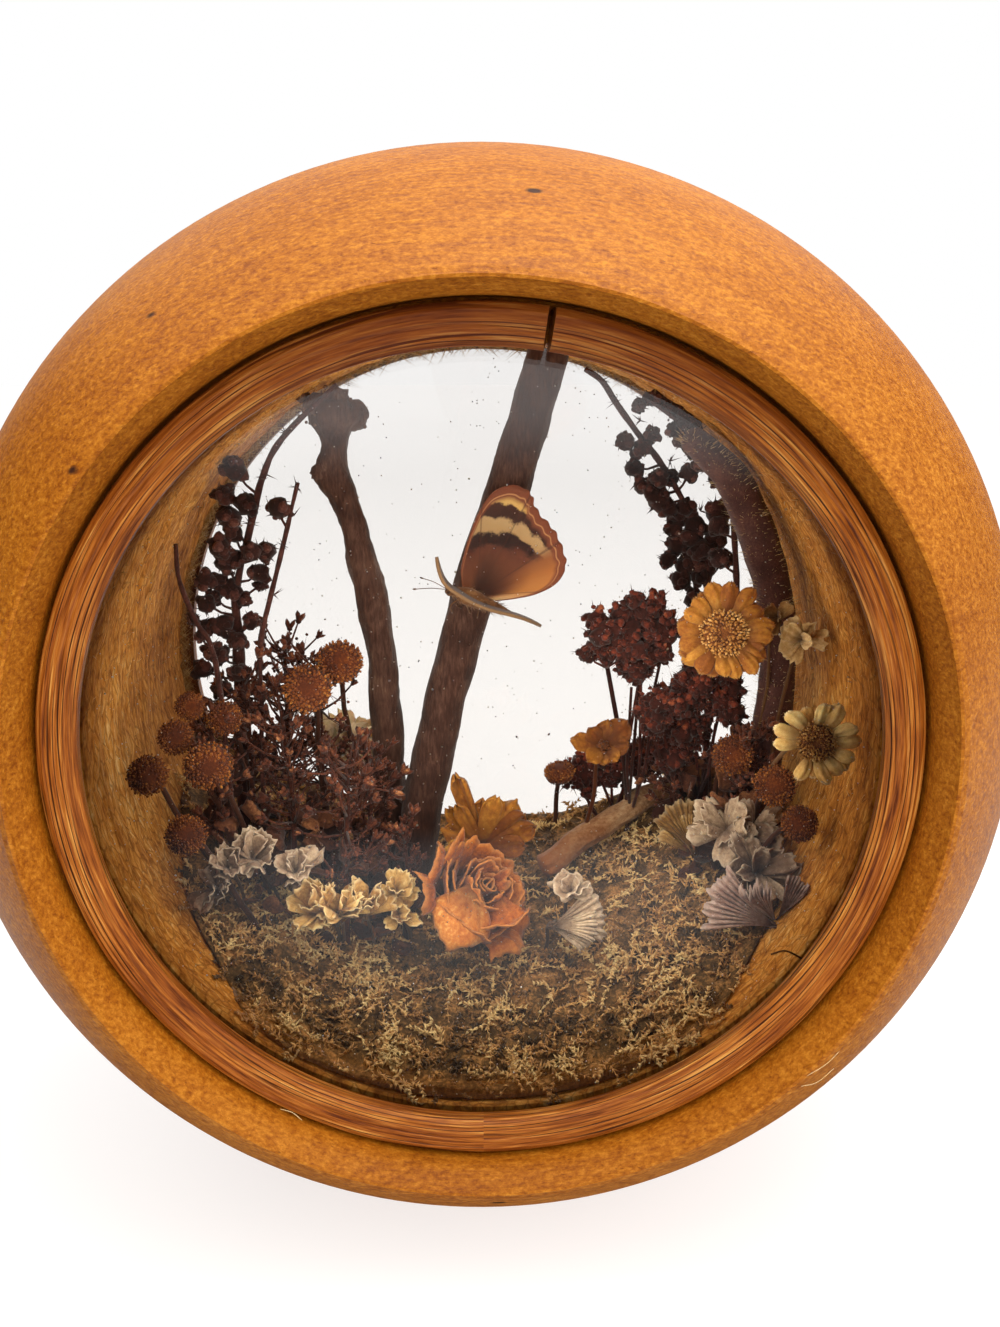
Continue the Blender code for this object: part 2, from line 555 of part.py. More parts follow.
# Papery flowers: stuff, centre, the way it looks, roll, reach and spread of its fan of petals
PAPERY = {
    "left_statice_1": ("grey_petal", (-43.6, -20, 58.4), (0.3, -0.9, 0.2), 0.6, 5.0, 4.4),
    "left_statice_2": ("grey_petal", (-38.6, -14, 61.6), (0.2, -0.9, 0.3), -0.5, 5.2, 2.6),
    "left_statice_3": ("cream_petal", (-31.6, -15, 58.6), (0.1, -0.9, 0.3), -0.2, 4.8, 2.8),
    "left_statice_4": ("cream_petal", (-26.2, -19, 54.6), (0.1, -0.9, 0.4), 0.2, 4.6, 3.6),
    "left_statice_5": ("cream_petal", (-20.2, -18, 55.2), (0.0, -0.9, 0.3), -0.4, 4.6, 2.6),
    "left_statice_6": ("cream_petal", (-15.2, -12, 54.0), (0.0, -0.9, 0.3), 1.4, 5.0, 3.4),
    "right_statice_1": ("cream_petal", (35.6, 4, 60.4), (-0.1, -0.9, 0.4), 0.6, 5.6, 3.0),
    "right_statice_2": ("grey_petal", (43.2, -7, 61.8), (-0.2, -0.9, 0.3), -0.3, 5.4, 2.6),
    "right_statice_3": ("grey_petal", (45.2, -15, 59.2), (-0.3, -0.9, 0.3), 0.4, 4.6, 4.0),
    "right_statice_4": ("cream_petal", (40.2, -21, 53.4), (-0.2, -0.9, 0.3), 0.8, 5.4, 2.8),
    "cream_petals": ("cream_petal", (16.6, -17, 50.8), (0.1, -0.9, 0.4), -1.0, 5.2, 3.6),
    "pale_back_flower": ("cream_petal", (-25.4, 20, 71.6), (0.0, -0.9, 0.3), -0.4, 6.0, 3.0),
    "pale_wall_flower": ("grey_petal", (51.6, -9, 95.6), (-0.4, -0.9, 0.1), 2.0, 4.2, 3.6),
    "amber_flower": ("amber_petal", (19.4, 3, 75.2), (0.0, -0.9, 0.3), 0.6, 5.2, 4.2),
    "amber_bunch": ("amber_petal", (1.4, -4, 61.6), (0.0, -0.9, 0.3), -0.2, 6.6, 3.0),
}
PLEATS = 4
PAPER_THICKNESS = 0.7
PAPER_FOLD = 0.18
PAPER_CUP = 0.25
PAPER_FOOT = 0.6
NECK_ASIDE = 0.3  # the stem meets the bloom just beside its middle fold
FOOT_BEHIND = 3.5  # a stem's foot is this far behind its bloom
FOOT_INSET = 0.9  # a stem's foot is this share of its bloom's distance from the middle


def pleated_bloom(placement, reach, spread):
    """A papery bloom: one fan folded to and fro from a narrow foot to a wide cupped rim."""
    shape = bmesh.new()
    layers = []
    for offset in (-PAPER_THICKNESS / 2, PAPER_THICKNESS / 2):
        rows = []
        for radius, sway in ((PAPER_FOOT, 0.2), (reach, 1.0)):
            row = []
            for index in range(PLEATS + 1):
                angle = spread * (index / PLEATS - 0.5)
                ripple = PAPER_FOLD * reach * sway * (1 if index % 2 else -1)
                height = PAPER_CUP * radius + ripple + offset
                row.append(shape.verts.new((radius * math.sin(angle), radius * math.cos(angle), height)))
            rows.append(row)
        layers.append(rows)
    low, high = layers
    for index in range(PLEATS):
        for foot, rim in layers:
            shape.faces.new((foot[index], foot[index + 1], rim[index + 1], rim[index]))
        for under, over in zip(low, high):
            shape.faces.new((under[index], under[index + 1], over[index + 1], over[index]))
    for index in (0, PLEATS):
        shape.faces.new((low[0][index], low[1][index], high[1][index], high[0][index]))
    shape.transform(placement)
    return shape


def papery_flowers():
    """Statice and other papery blooms, each on its own stem."""
    for name, (kind, place, toward, roll, reach, spread) in PAPERY.items():
        placement = facing(place, toward, roll)
        middle_fold = reach * (0.5 * PAPER_CUP - 0.6 * PAPER_FOLD)
        neck = placement @ Vector((NECK_ASIDE, 0.5 * reach, middle_fold))
        base = Vector(soil(place[0] * FOOT_INSET, place[1] + FOOT_BEHIND))
        stem = rod(((*base, THIN_STEM), (*neck, THIN_STEM)), sides=4)
        grown(name, [pleated_bloom(placement, reach, spread), stem], kind)


# Yarrow: middle and half size of each lobe of the head, the foot on the moss and the noise's seed
YARROW = (("yarrow_1", (((22.4, 4, 94.4), (4.8, 3.4, 5.0)), ((27.6, 4, 98.6), (4.6, 3.2, 5.6)),
                        ((27.0, 4, 90.6), (4.2, 3.0, 4.0))), (27.4, 5)),
          ("yarrow_2", (((35.8, 6, 83.6), (5.2, 3.2, 4.6)), ((43.0, 6, 82.0), (5.0, 3.2, 4.4))), (39.4, 8)),
          ("yarrow_3", (((19.6, 24, 62.8), (5.0, 3.0, 3.4)), ((28.6, 25, 65.0), (5.2, 3.0, 3.4))), (24.4, 24)))
YARROW_ROUGHNESS = 0.35


def lumpy_head(place, half, seed):
    """One lobe of a head of many tiny florets: a ball with a rough surface."""
    shape = bmesh.new()
    bmesh.ops.create_icosphere(shape, subdivisions=2, radius=1.0)
    for vert in shape.verts:
        vert.co *= 1.0 + YARROW_ROUGHNESS * noise.noise(vert.co * 2.6 + Vector((seed, 0, 0)))
    shape.transform(Matrix.Translation(place) @ Matrix.Diagonal((*half, 1)))
    return shape


def yarrow_heads():
    """Lumpy dark heads of many tiny florets on branching stalks."""
    for name, lobes, foot in YARROW:
        base = Vector(soil(*foot))
        fork = base.lerp(Vector(lobes[0][0]), 0.6)
        shapes = [rod(((*base, 1.0), (*fork, 0.9), (*lobes[0][0], 0.8)), sides=4)]
        for number, (place, half) in enumerate(lobes):
            shapes.append(lumpy_head(place, half, number + place[0]))
        grown(name, shapes, "dark_seed")


# Butterfly: wings as outlines of (across, up) in their own planes, and one body on the twig
BUTTERFLY_Y = -1.0
FAR_WINGS = ((-3.4, 103.8), (-2.6, 106.6), (-0.6, 111.0), (1.9, 117.0), (5.5, 122.0), (8.4, 120.2), (9.8, 117.6),
             (12.4, 115.2), (13.8, 111.9), (13.4, 107.4), (11.4, 105.2), (8.6, 103.5), (3.0, 101.4))
NEAR_WINGS = ((0.0, 0.6), (-2.4, 8.0), (-4.4, 15.6), (-2.0, 17.4), (3.0, 15.8), (8.0, 13.4), (12.6, 10.4),
              (15.0, 6.6), (15.2, 3.2), (11.0, 0.8), (6.0, -0.4))
NEAR_WINGS_ROOT = (-4.4, -1.4, 104.6)
BODY_LINE = Vector((0.905, 0.0, -0.425))
TO_VIEWER = Vector((0.0, -0.982, 0.189))
WING_THICKNESS = 0.5
BUTTERFLY_BODY = ((3.6, -1.4, 100.8, 0.4), (0.6, -1.4, 101.9, 0.9), (-2.4, -1.4, 103.2, 1.1),
                  (-4.8, -1.4, 104.0, 0.9), (-6.2, -1.4, 104.4, 0.7))
ANTENNAE = (((-5.8, -1.8, 104.4), (-11.2, -3.4, 104.8)), ((-5.8, -1.2, 104.5), (-10.6, 0.4, 106.0)))
LEGS = (((-3.6, -1.2, 103.4), (-3.2, 1.6, 102.6)), ((-1.6, -1.2, 102.6), (-1.4, 1.6, 101.2)))
FEELER_RADIUS = 0.22


def butterfly():
    """The butterfly: one pair of wings closed upright, the other spread toward the viewer."""
    upright = Matrix.Translation((0, BUTTERFLY_Y, 0)) @ Matrix.Rotation(math.pi / 2, 4, "X")
    shapes = [plate(FAR_WINGS, WING_THICKNESS, upright)]
    normal = BODY_LINE.cross(TO_VIEWER)
    turn = Matrix((BODY_LINE, TO_VIEWER, normal)).transposed().to_4x4()
    spread = Matrix.Translation(NEAR_WINGS_ROOT) @ turn
    shapes.append(plate(NEAR_WINGS, WING_THICKNESS, spread))
    shapes.append(rod(BUTTERFLY_BODY))
    for ends in ANTENNAE + LEGS:
        low, high = sorted(ends, key=lambda end: end[2])
        shapes.append(rod(((*low, FEELER_RADIUS), (*high, FEELER_RADIUS)), sides=4))
    grown("butterfly", shapes, "butterfly_scales")


def clear_scene():
    """Remove what the file starts with."""
    for old in list(bpy.data.objects):
        bpy.data.objects.remove(old)


def build():
    """Make every piece of the porthole."""
    clear_scene()
    wood_body()
    for name, side in (("front", -1), ("back", 1)):
        glass_dome(name + "_glass_dome", side)
        rattan_ring(name + "_rattan_ring", side)
    moss_bed()
    twigs()
    sprays()
    dock_stems()
    button_flowers()
    daisies()
    rose()
    papery_flowers()
    yarrow_heads()
    butterfly()


build()
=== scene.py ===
# %% [markdown]
# # A butterfly garden between two domed glasses
#
# The object is a thick ring of turned, honey-coloured hardwood. It is bored through from front to
# back, and a convex glass closes each end, held by a bent strip of rattan. Between the glasses stands
# a garden of dried flowers, twigs and moss with one mounted butterfly.
#
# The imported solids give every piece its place. This lesson keeps them as a hidden frame and builds a
# finer piece over each one. Lengths are typed in millimetres and turned to metres when a mesh is made.

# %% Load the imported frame
import math
from functools import partial

import bmesh
import bpy
import numpy as np
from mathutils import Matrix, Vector, noise


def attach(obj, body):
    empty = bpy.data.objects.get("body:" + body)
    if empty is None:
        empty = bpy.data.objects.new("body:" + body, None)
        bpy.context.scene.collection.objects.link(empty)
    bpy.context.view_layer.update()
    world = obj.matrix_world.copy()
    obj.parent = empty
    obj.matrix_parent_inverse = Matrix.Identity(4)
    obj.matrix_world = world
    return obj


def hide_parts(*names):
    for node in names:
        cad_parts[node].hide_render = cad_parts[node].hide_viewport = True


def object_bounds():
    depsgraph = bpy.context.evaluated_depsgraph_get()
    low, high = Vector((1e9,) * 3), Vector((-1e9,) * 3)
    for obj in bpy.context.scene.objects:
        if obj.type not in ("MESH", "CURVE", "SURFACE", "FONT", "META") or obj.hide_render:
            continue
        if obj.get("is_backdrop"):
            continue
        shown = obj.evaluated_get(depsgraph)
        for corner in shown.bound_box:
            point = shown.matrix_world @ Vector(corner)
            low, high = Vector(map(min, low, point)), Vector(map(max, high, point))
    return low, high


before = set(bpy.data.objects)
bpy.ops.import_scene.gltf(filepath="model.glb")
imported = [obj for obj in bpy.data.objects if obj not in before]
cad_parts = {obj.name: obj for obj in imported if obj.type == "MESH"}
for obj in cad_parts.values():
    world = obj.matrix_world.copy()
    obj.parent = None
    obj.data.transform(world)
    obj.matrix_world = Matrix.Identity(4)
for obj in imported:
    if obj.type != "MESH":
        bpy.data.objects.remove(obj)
cad_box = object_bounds()
print("frame:", len(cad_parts), "nodes")

# %% [markdown]
# ## Camera
# The camera was fitted to the outlines of the wood, the ring and the bore. It stands close, a little
# above the middle, and looks down by 14 degrees. The focal length is that of a phone's main lens.

# %% Camera
PHOTO_LONG_SIDE = 1327
FOCAL_PIXELS = 1238.0
PITCH = math.radians(13.94)
YAW = math.radians(0.58)
CAMERA_PLACE = (0.00084, -0.2093, 0.1431)
SENSOR_MM = 36.0

camera = bpy.data.objects.new("camera", bpy.data.cameras.new("camera"))
bpy.context.scene.collection.objects.link(camera)
camera.data.sensor_width = SENSOR_MM
camera.data.lens = FOCAL_PIXELS * SENSOR_MM / PHOTO_LONG_SIDE
camera.data.clip_start = 0.01
camera.location = CAMERA_PLACE
looks = Vector((math.sin(YAW) * math.cos(PITCH), math.cos(YAW) * math.cos(PITCH), -math.sin(PITCH)))
camera.rotation_mode = "QUATERNION"
camera.rotation_quaternion = looks.to_track_quat("-Z", "Y")
bpy.context.scene.camera = camera
bpy.context.scene.view_settings.view_transform = "Standard"
print("lens %.2f mm" % camera.data.lens)

# %% [markdown]
# ## Small tools
# One function turns an sRGB hex colour to the linear numbers that shaders need. One more adds a node
# with its settings and links. Every pattern is measured in millimetres, so a scale can be checked
# against a ruler: a noise scale of 2 means about two lumps to the millimetre.

# %% Colour and node helpers
def linear(code):
    """The linear RGBA of an sRGB hex colour such as "#cb853f"."""
    parts = [int(code[at:at + 2], 16) / 255 for at in (1, 3, 5)]
    return tuple(((v + 0.055) / 1.055) ** 2.4 if v > 0.04045 else v / 12.92 for v in parts) + (1.0,)


MODES = {"Math": "operation", "VectorMath": "operation", "Mix": "data_type", "TexVoronoi": "feature"}


def add_node(tree, kind, *values, out=0, stops=(), **settings):
    """Add a node and return one of its outputs, or all of them where out is None.

    The kind may end in a mode, such as Math ADD. Values fill the inputs that the node shows, in order;
    a setting with a capital letter is an input by name. A value may be another node's output.
    """
    kind, _, mode = kind.partition(" ")
    made = tree.nodes.new("ShaderNode" + kind)
    if mode:
        setattr(made, MODES[kind], mode)
    for key in [key for key in settings if key[0].islower()]:
        setattr(made, key, settings.pop(key))
    shown = [socket for socket in made.inputs if socket.enabled]
    named = [(made.inputs[key], value) for key, value in settings.items()]
    for socket, value in [*zip(shown, values), *named]:
        if isinstance(value, bpy.types.NodeSocket):
            tree.links.new(value, socket)
        else:
            socket.default_value = value
    for index, (place, code) in enumerate(stops):
        stop = made.color_ramp.elements[index] if index < 2 else made.color_ramp.elements.new(place)
        stop.position = place
        stop.color = linear(code)
    if out is None:
        return made.outputs
    return made.outputs[out] if out else [socket for socket in made.outputs if socket.enabled][0]


def new_finish(name, **values):
    """A material, its Principled shader and the function that adds nodes to it; _ stands for a space."""
    made = bpy.data.materials.new(name)
    made.use_nodes = True
    shader = made.node_tree.nodes["Principled BSDF"]
    for key, value in values.items():
        shader.inputs[key.replace("_", " ")].default_value = value
    return made, shader, partial(add_node, made.node_tree)


def feed(shader, **outputs):
    """Link outputs of nodes to a shader's inputs, named with _ for a space."""
    for key, value in outputs.items():
        shader.id_data.links.new(value, shader.inputs[key.replace("_", " ")])


def in_mm(add, stretch=(1, 1, 1)):
    """Object coordinates in millimetres, multiplied by stretch."""
    return add("VectorMath MULTIPLY", add("TexCoord", out="Object"), [1000 * s for s in stretch])


# %% [markdown]
# ## Mesh helpers
# Flowers and moss are many small sheets, tubes and lumps. A heap collects their corners and faces as
# arrays and makes one mesh of them at the end, which is far quicker than one object for each. Two
# numbers go with every corner: its tint, which is one for a whole petal, and how far along it lies
# from root to tip. The materials read them to vary the colour.

# %% Heap of small shapes
MM = 0.001


class Heap:
    """Small shapes in millimetres that become one mesh."""

    def __init__(self):
        self.verts, self.faces, self.tint, self.along = [], [], [], []
        self.count = 0

    def put(self, verts, faces, tint=0.5, along=0.5):
        verts = np.asarray(verts, float).reshape(-1, 3)
        self.verts.append(verts)
        self.faces += [np.asarray(block, int) + self.count for block in faces]
        self.tint.append(np.broadcast_to(tint, len(verts)))
        self.along.append(np.broadcast_to(along, len(verts)))
        self.count += len(verts)

    def piece(self, name, finish, node, slot, smooth=True):
        """One object of all the shapes, which rides on the frame and stands for a node of it."""
        mesh = bpy.data.meshes.new(name)
        corners = np.concatenate([block.ravel() for block in self.faces])
        sizes = np.concatenate([np.full(len(block), block.shape[1]) for block in self.faces])
        mesh.vertices.add(self.count)
        mesh.vertices.foreach_set("co", (np.concatenate(self.verts) * MM).ravel())
        mesh.loops.add(len(corners))
        mesh.loops.foreach_set("vertex_index", corners)
        mesh.polygons.add(len(sizes))
        mesh.polygons.foreach_set("loop_start", np.concatenate([[0], np.cumsum(sizes)[:-1]]))
        mesh.update(calc_edges=True)
        for key, blocks in (("tint", self.tint), ("along", self.along)):
            mesh.attributes.new(key, "FLOAT", "POINT").data.foreach_set("value", np.concatenate(blocks))
        mesh.polygons.foreach_set("use_smooth", np.full(len(sizes), smooth))
        mesh.materials.append(finish)
        made = bpy.data.objects.new(name, mesh)
        bpy.context.scene.collection.objects.link(made)
        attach(made, "root")
        if node:
            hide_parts(*([node] if isinstance(node, str) else node))
        print(name, "%d triangles" % int((sizes - 2).sum()))
        return made


def grid_faces(rows, columns, wrap=False):
    """Quads of a grid of corners; wrap joins the last column to the first."""
    index = np.arange(rows * columns).reshape(rows, columns)
    if wrap:
        index = np.concatenate([index, index[:, :1]], axis=1)
    return np.stack([index[:-1, :-1], index[:-1, 1:], index[1:, 1:], index[1:, :-1]], -1).reshape(-1, 4)


def rumple(points, size, height, seed=0.0):
    """A smooth noise value, up to height, for each point, with lumps about size millimetres wide."""
    shift = Vector((seed, 1.7 * seed, 0.3 * seed))
    return np.array([noise.noise(Vector(p) / size + shift) for p in points]) * height


def wobble(points, size, height, seed, step=4):
    """A smooth push for each point, different in x, y and z."""
    return np.stack([rumple(points, size, height, seed + k * step) for k in range(3)], -1)


def edge_noise(across, scale, seed, layer):
    """One smooth noise value for each column of a petal, to tear or wave its rim."""
    return np.array([noise.noise(Vector((v * scale, seed, layer))) for v in across[0]])[None, :]


# %% [markdown]
# ## Turned shapes
# The body, the rings and the glasses were all made round one axis, which runs from front to back at
# 85.8 mm above the table. So each is a profile of radius and depth swept round that axis, as the
# tool of a lathe would cut it. The angle runs clockwise from the top, as the viewer sees it.

# %% Lathe
AXIS_HEIGHT = 85.8


def swept(profile, turns):
    """Corners of a profile of (radius, y) rows at each of the angles."""
    radius, depth = np.asarray(profile, float).T
    angle = np.asarray(turns, float)[:, None]
    x = radius * np.sin(angle)
    z = AXIS_HEIGHT + radius * np.cos(angle)
    return np.stack([x, np.broadcast_to(depth, x.shape), z], -1)


def smooth_line(points, steps):
    """A smooth curve through rows of numbers, with that many steps in each span."""
    rows = np.asarray(points, float)
    rows = np.vstack([2 * rows[0] - rows[1], rows, 2 * rows[-1] - rows[-2]])
    made = []
    for before, here, there, after in zip(rows, rows[1:], rows[2:], rows[3:]):
        for t in np.arange(steps) / steps:
            bend = (2 * before - 5 * here + 4 * there - after) * t ** 2
            swing = (3 * here - before - 3 * there + after) * t ** 3
            made.append(0.5 * (2 * here + (there - before) * t + bend + swing))
    return np.array(made + [rows[-2]])


# %% [markdown]
# ## The wood
# The body is a pale hardwood that was stained honey brown, turned, sanded and waxed. Its grain runs
# across the ring, along X. So the top and the bottom show long lines, and the left and the right show
# end grain: fine speckles that catch the light. A pattern in 3-D gives both from one set of numbers.
# Fibres are about 0.5 mm wide and pores 0.25 mm, drawn a little coarser so that the render shows them.

# %% Honey-stained hardwood
PITH_AHEAD, PITH_BELOW = 30.0, 240.0  # where the heart of the tree lay, seen from the table's middle
STAIN_ENDS, RAW_STARTS = 61.0, 60.4  # radii between which the stain gives way to raw wood


def hardwood(name, pale, mid, deep, pore, roughness, relief):
    """Hardwood with growth rings, fibres and pores, in four tones of its stain."""
    made, shader, add = new_finish(name, Roughness=roughness, IOR=1.5, Specular_IOR_Level=0.28)
    fibre = add("TexNoise", Vector=in_mm(add, (0.05, 1, 1)), Scale=1.6, Detail=4.0, Roughness=0.65)
    streak = add("TexNoise", Vector=in_mm(add, (0.03, 0.3, 0.3)), Scale=0.5, Detail=3.0)
    cloud = add("TexNoise", Vector=in_mm(add), Scale=0.035, Detail=2.0)
    spot = add("SeparateXYZ", in_mm(add), out=None)
    across = add("Math ADD", spot["Y"], PITH_AHEAD)
    along = add("Math MULTIPLY", spot["X"], 0.12)
    bent = add("Math MULTIPLY", along, along)
    up = add("Math ADD", spot["Z"], bent)
    up = add("Math ADD", up, PITH_BELOW)
    flat = add("CombineXYZ", X=across, Y=up)
    distance = add("VectorMath LENGTH", flat)
    wander = add("Math MULTIPLY_ADD", cloud, 26.0, distance)
    ring = add("Math MULTIPLY", wander, 1.25)
    ring = add("Math SINE", ring)
    speckle = add("TexNoise", Vector=in_mm(add, (0.7, 1, 1)), Scale=1.5, Detail=3.0, Roughness=0.75)
    tone = fibre
    for layer, weight in ((ring, 0.045), (streak, 0.3), (cloud, 0.35), (speckle, 1.9)):
        tone = add("Math MULTIPLY_ADD", layer, weight, tone)
    colour = add(
        "ValToRGB", add("MapRange", tone, 1.25, 2.35), stops=[(0.12, deep), (0.5, mid), (0.86, pale)])
    pores = add("TexNoise", Vector=in_mm(add, (0.22, 1, 1)), Scale=3.2, Detail=1.0)
    pit = add("MapRange", pores, 0.68, 0.78, 0.0, 0.7)
    colour = add("Mix RGBA", pit, colour, linear(pore))
    flecks = add("TexVoronoi", Vector=in_mm(add, (0.6, 1, 1)), Scale=0.06, Randomness=1.0)
    fleck = add("MapRange", flecks, 0.055, 0.035)
    colour = add("Mix RGBA", fleck, colour, linear("#3a1c0c"))
    low = add("Math SUBTRACT", spot["Z"], AXIS_HEIGHT)
    radius = add("VectorMath LENGTH", add("CombineXYZ", spot["X"], low))
    inside = add("MapRange", radius, STAIN_ENDS, RAW_STARTS)
    torn = add("TexNoise", Vector=in_mm(add, (0.5, 1, 0.25)), Scale=1.1, Detail=5.0, Roughness=0.7)
    torn = add("Math MULTIPLY_ADD", cloud, 0.4, torn)
    raw = add(
        "ValToRGB", add("MapRange", torn, 0.45, 0.95),
        stops=[(0.1, "#7a4314"), (0.45, "#c17c2f"), (0.75, "#dea04c"), (1.0, "#f3cd88")])
    net = add("TexVoronoi DISTANCE_TO_EDGE", Vector=in_mm(add, (0.7, 1, 0.3)), Scale=0.9)
    crack = add("MapRange", net, 0.10, 0.02, 0.0, 0.55)
    raw = add("Mix RGBA", crack, raw, linear("#6b3a14"))
    colour = add("Mix RGBA", inside, colour, raw)
    rough = add("MapRange", fibre, 0.3, 0.7, roughness - 0.08, roughness + 0.1)
    rough = add("Math MULTIPLY_ADD", inside, 0.35, rough)
    height = add("Math MULTIPLY_ADD", pit, -0.6, add("Math ADD", fibre, speckle))
    bump = add("Bump", Height=height, Strength=relief, Distance=0.0003)
    feed(shader, Base_Color=colour, Roughness=rough, Normal=bump)
    return made


HONEY_WOOD = hardwood("honey_stained_hardwood", "#c98226", "#ac6512", "#874608", "#6a3306", 0.52, 0.35)

# %% [markdown]
# ## The body
# The outside is a barrel that bulges most in the middle. Each end has a narrow dished lip, then a
# step where the glass lies. The bore was left raw and its fibres are torn, so that wall is rumpled.
# A small flat is sanded underneath: a plane cuts the mesh there and the hole is filled.

# %% Turned wooden body
BODY_RADIUS, CURVE_REACH = 89.5, 69.0
FACE_Y, LIP_FOOT_Y, STEP_Y = 45.0, 39.6, 31.7
STEP_RADIUS, BORE_RADIUS = 65.2, 59.5
BODY_SIDES, OUTSIDE_ROWS, BORE_ROWS = 172, 26, 30
ROUNDED_EDGE = 0.6


def barrel(depth):
    """Radius of the outside at a depth."""
    return BODY_RADIUS * np.sqrt(1 - (depth / CURVE_REACH) ** 2)


def body_profile():
    """Radius and depth from the middle of the outside, over the front lip, to the bore's middle."""
    depths = (FACE_Y - ROUNDED_EDGE) * np.sin(np.linspace(0, math.pi / 2, OUTSIDE_ROWS))
    outside = [(barrel(d), d) for d in depths]
    edge = [
        (barrel(FACE_Y) + 0.1, FACE_Y - 0.35), (barrel(FACE_Y) - 0.25, FACE_Y - 0.06),
        (barrel(FACE_Y) - 0.7, FACE_Y - 0.15)]
    dish = [
        (STEP_RADIUS + 1.35, 43.4), (STEP_RADIUS + 0.55, 42.0), (STEP_RADIUS + 0.15, 40.6),
        (STEP_RADIUS, LIP_FOOT_Y)]
    step = [
        (STEP_RADIUS, 36.0), (STEP_RADIUS, STEP_Y + 0.3), (STEP_RADIUS - 0.3, STEP_Y), (62.0, STEP_Y),
        (BORE_RADIUS + 0.4, STEP_Y)]
    bore = [(BORE_RADIUS, d) for d in np.linspace(STEP_Y - 0.4, 0, BORE_ROWS)]
    return outside + edge + dish + step + bore


def wooden_body():
    """The whole body: the profile, its mirror image and the flat underneath."""
    half = body_profile()
    whole = [(r, -d) for r, d in half] + [(r, d) for r, d in reversed(half[1:-1])]
    places = swept(whole, np.linspace(0, 2 * math.pi, BODY_SIDES, endpoint=False))
    flat = places.reshape(-1, 3)
    radius = np.hypot(flat[:, 0], flat[:, 2] - AXIS_HEIGHT)
    raw = (radius < BORE_RADIUS + 0.1) & (abs(flat[:, 1]) < STEP_Y - 1)
    torn = rumple(flat * (0.12, 1, 1), 1.2, 0.5) + rumple(flat * (0.3, 1, 1), 4.0, 0.45, 9.0)
    spokes = (flat - (0, 0, AXIS_HEIGHT)) * (1, 0, 1) / radius[:, None]
    flat = flat + spokes * np.where(raw, torn, 0.02 * rumple(flat, 14.0, 1.0))[:, None]
    heap = Heap()
    heap.put(flat, [grid_faces(BODY_SIDES, len(whole), wrap=True)])
    heap.faces[0] = np.concatenate([heap.faces[0], closing(BODY_SIDES, len(whole))])
    made = heap.piece("turned_wooden_body", HONEY_WOOD, "wood_body", "honey_wood")
    shape = bmesh.new()
    shape.from_mesh(made.data)
    parts = list(shape.verts) + list(shape.edges) + list(shape.faces)
    cut = bmesh.ops.bisect_plane(
        shape, geom=parts, plane_co=(0, 0, 0), plane_no=(0, 0, -1), clear_outer=True)
    rim = [item for item in cut["geom_cut"] if isinstance(item, bmesh.types.BMEdge)]
    bmesh.ops.edgeloop_fill(shape, edges=rim)
    bmesh.ops.recalc_face_normals(shape, faces=shape.faces)
    shape.to_mesh(made.data)
    shape.free()
    made.data.set_sharp_from_angle(angle=math.radians(30))
    return made


def closing(rows, columns):
    """Quads that join the last row of a turned grid to its first."""
    first = np.arange(columns)
    last = first + (rows - 1) * columns
    return np.stack([last, np.roll(last, -1), np.roll(first, -1), first], -1)


wooden_body()

# %% [markdown]
# ## Rattan rings
# A strip of rattan, soaked and bent, holds each glass in its step. Its fibres follow the bend, so the
# lines run round the ring. The two ends meet in a small open joint to the right of the top. Radius
# and angle, taken from the place of each point, make a pattern that follows the bend.

# %% Split rattan
SEAM_STEP = 8.6  # radians of seam pattern for each millimetre across the strip


def rattan():
    """Bent rattan: fibres round the ring, 0.45 mm wide, with darker seams and a satin lacquer."""
    made, shader, add = new_finish("bent_lacquered_rattan", Roughness=0.4, IOR=1.5, Specular_IOR_Level=0.4)
    spot = add("SeparateXYZ", in_mm(add), out=None)
    up = add("Math SUBTRACT", spot["Z"], AXIS_HEIGHT)
    radius = add("VectorMath LENGTH", add("CombineXYZ", spot["X"], up))
    angle = add("Math ARCTAN2", spot["X"], up)
    turn = add("CombineXYZ", radius, spot["Y"], add("Math MULTIPLY", angle, 2.4))
    fibre = add("TexNoise", Vector=turn, Scale=2.6, Detail=3.0, Roughness=0.7)
    strand = add("TexNoise", Vector=turn, Scale=0.8, Detail=1.0)
    patch = add("TexNoise", Vector=in_mm(add), Scale=0.05, Detail=2.0)
    tone = add("Math MULTIPLY_ADD", strand, 0.5, fibre)
    tone = add("Math MULTIPLY_ADD", patch, 0.35, tone)
    colour = add(
        "ValToRGB", add("MapRange", tone, 0.62, 1.22),
        stops=[(0.10, "#562509"), (0.38, "#934e17"), (0.62, "#b56b25"), (0.92, "#d99c4e")])
    sway = add("TexNoise", Vector=turn, Scale=0.45, Detail=2.0)
    across = add("Math MULTIPLY_ADD", spot["Y"], -0.8, radius)
    across = add("Math MULTIPLY_ADD", sway, 2.4, across)
    seam = add("Math SINE", add("Math MULTIPLY", across, SEAM_STEP))
    seam = add("MapRange", seam, 0.55, 0.9, 0.0, 1.0)
    seam = add("Math MULTIPLY", seam, add("MapRange", strand, 0.40, 0.56))
    colour = add("Mix RGBA", seam, colour, linear("#3f1a07"))
    # Painted shade: the top of each ring is darkened, where the lip above it overhangs.
    top = add("MapRange", add("Math DIVIDE", up, radius), 0.6, 0.98, 0.0, 0.5)
    colour = add("Mix RGBA", top, colour, linear("#5a230b"))
    tone = add("Math MULTIPLY_ADD", seam, -0.8, tone)
    feed(shader, Base_Color=colour, Normal=add("Bump", Height=tone, Strength=0.5, Distance=0.0003))
    return made


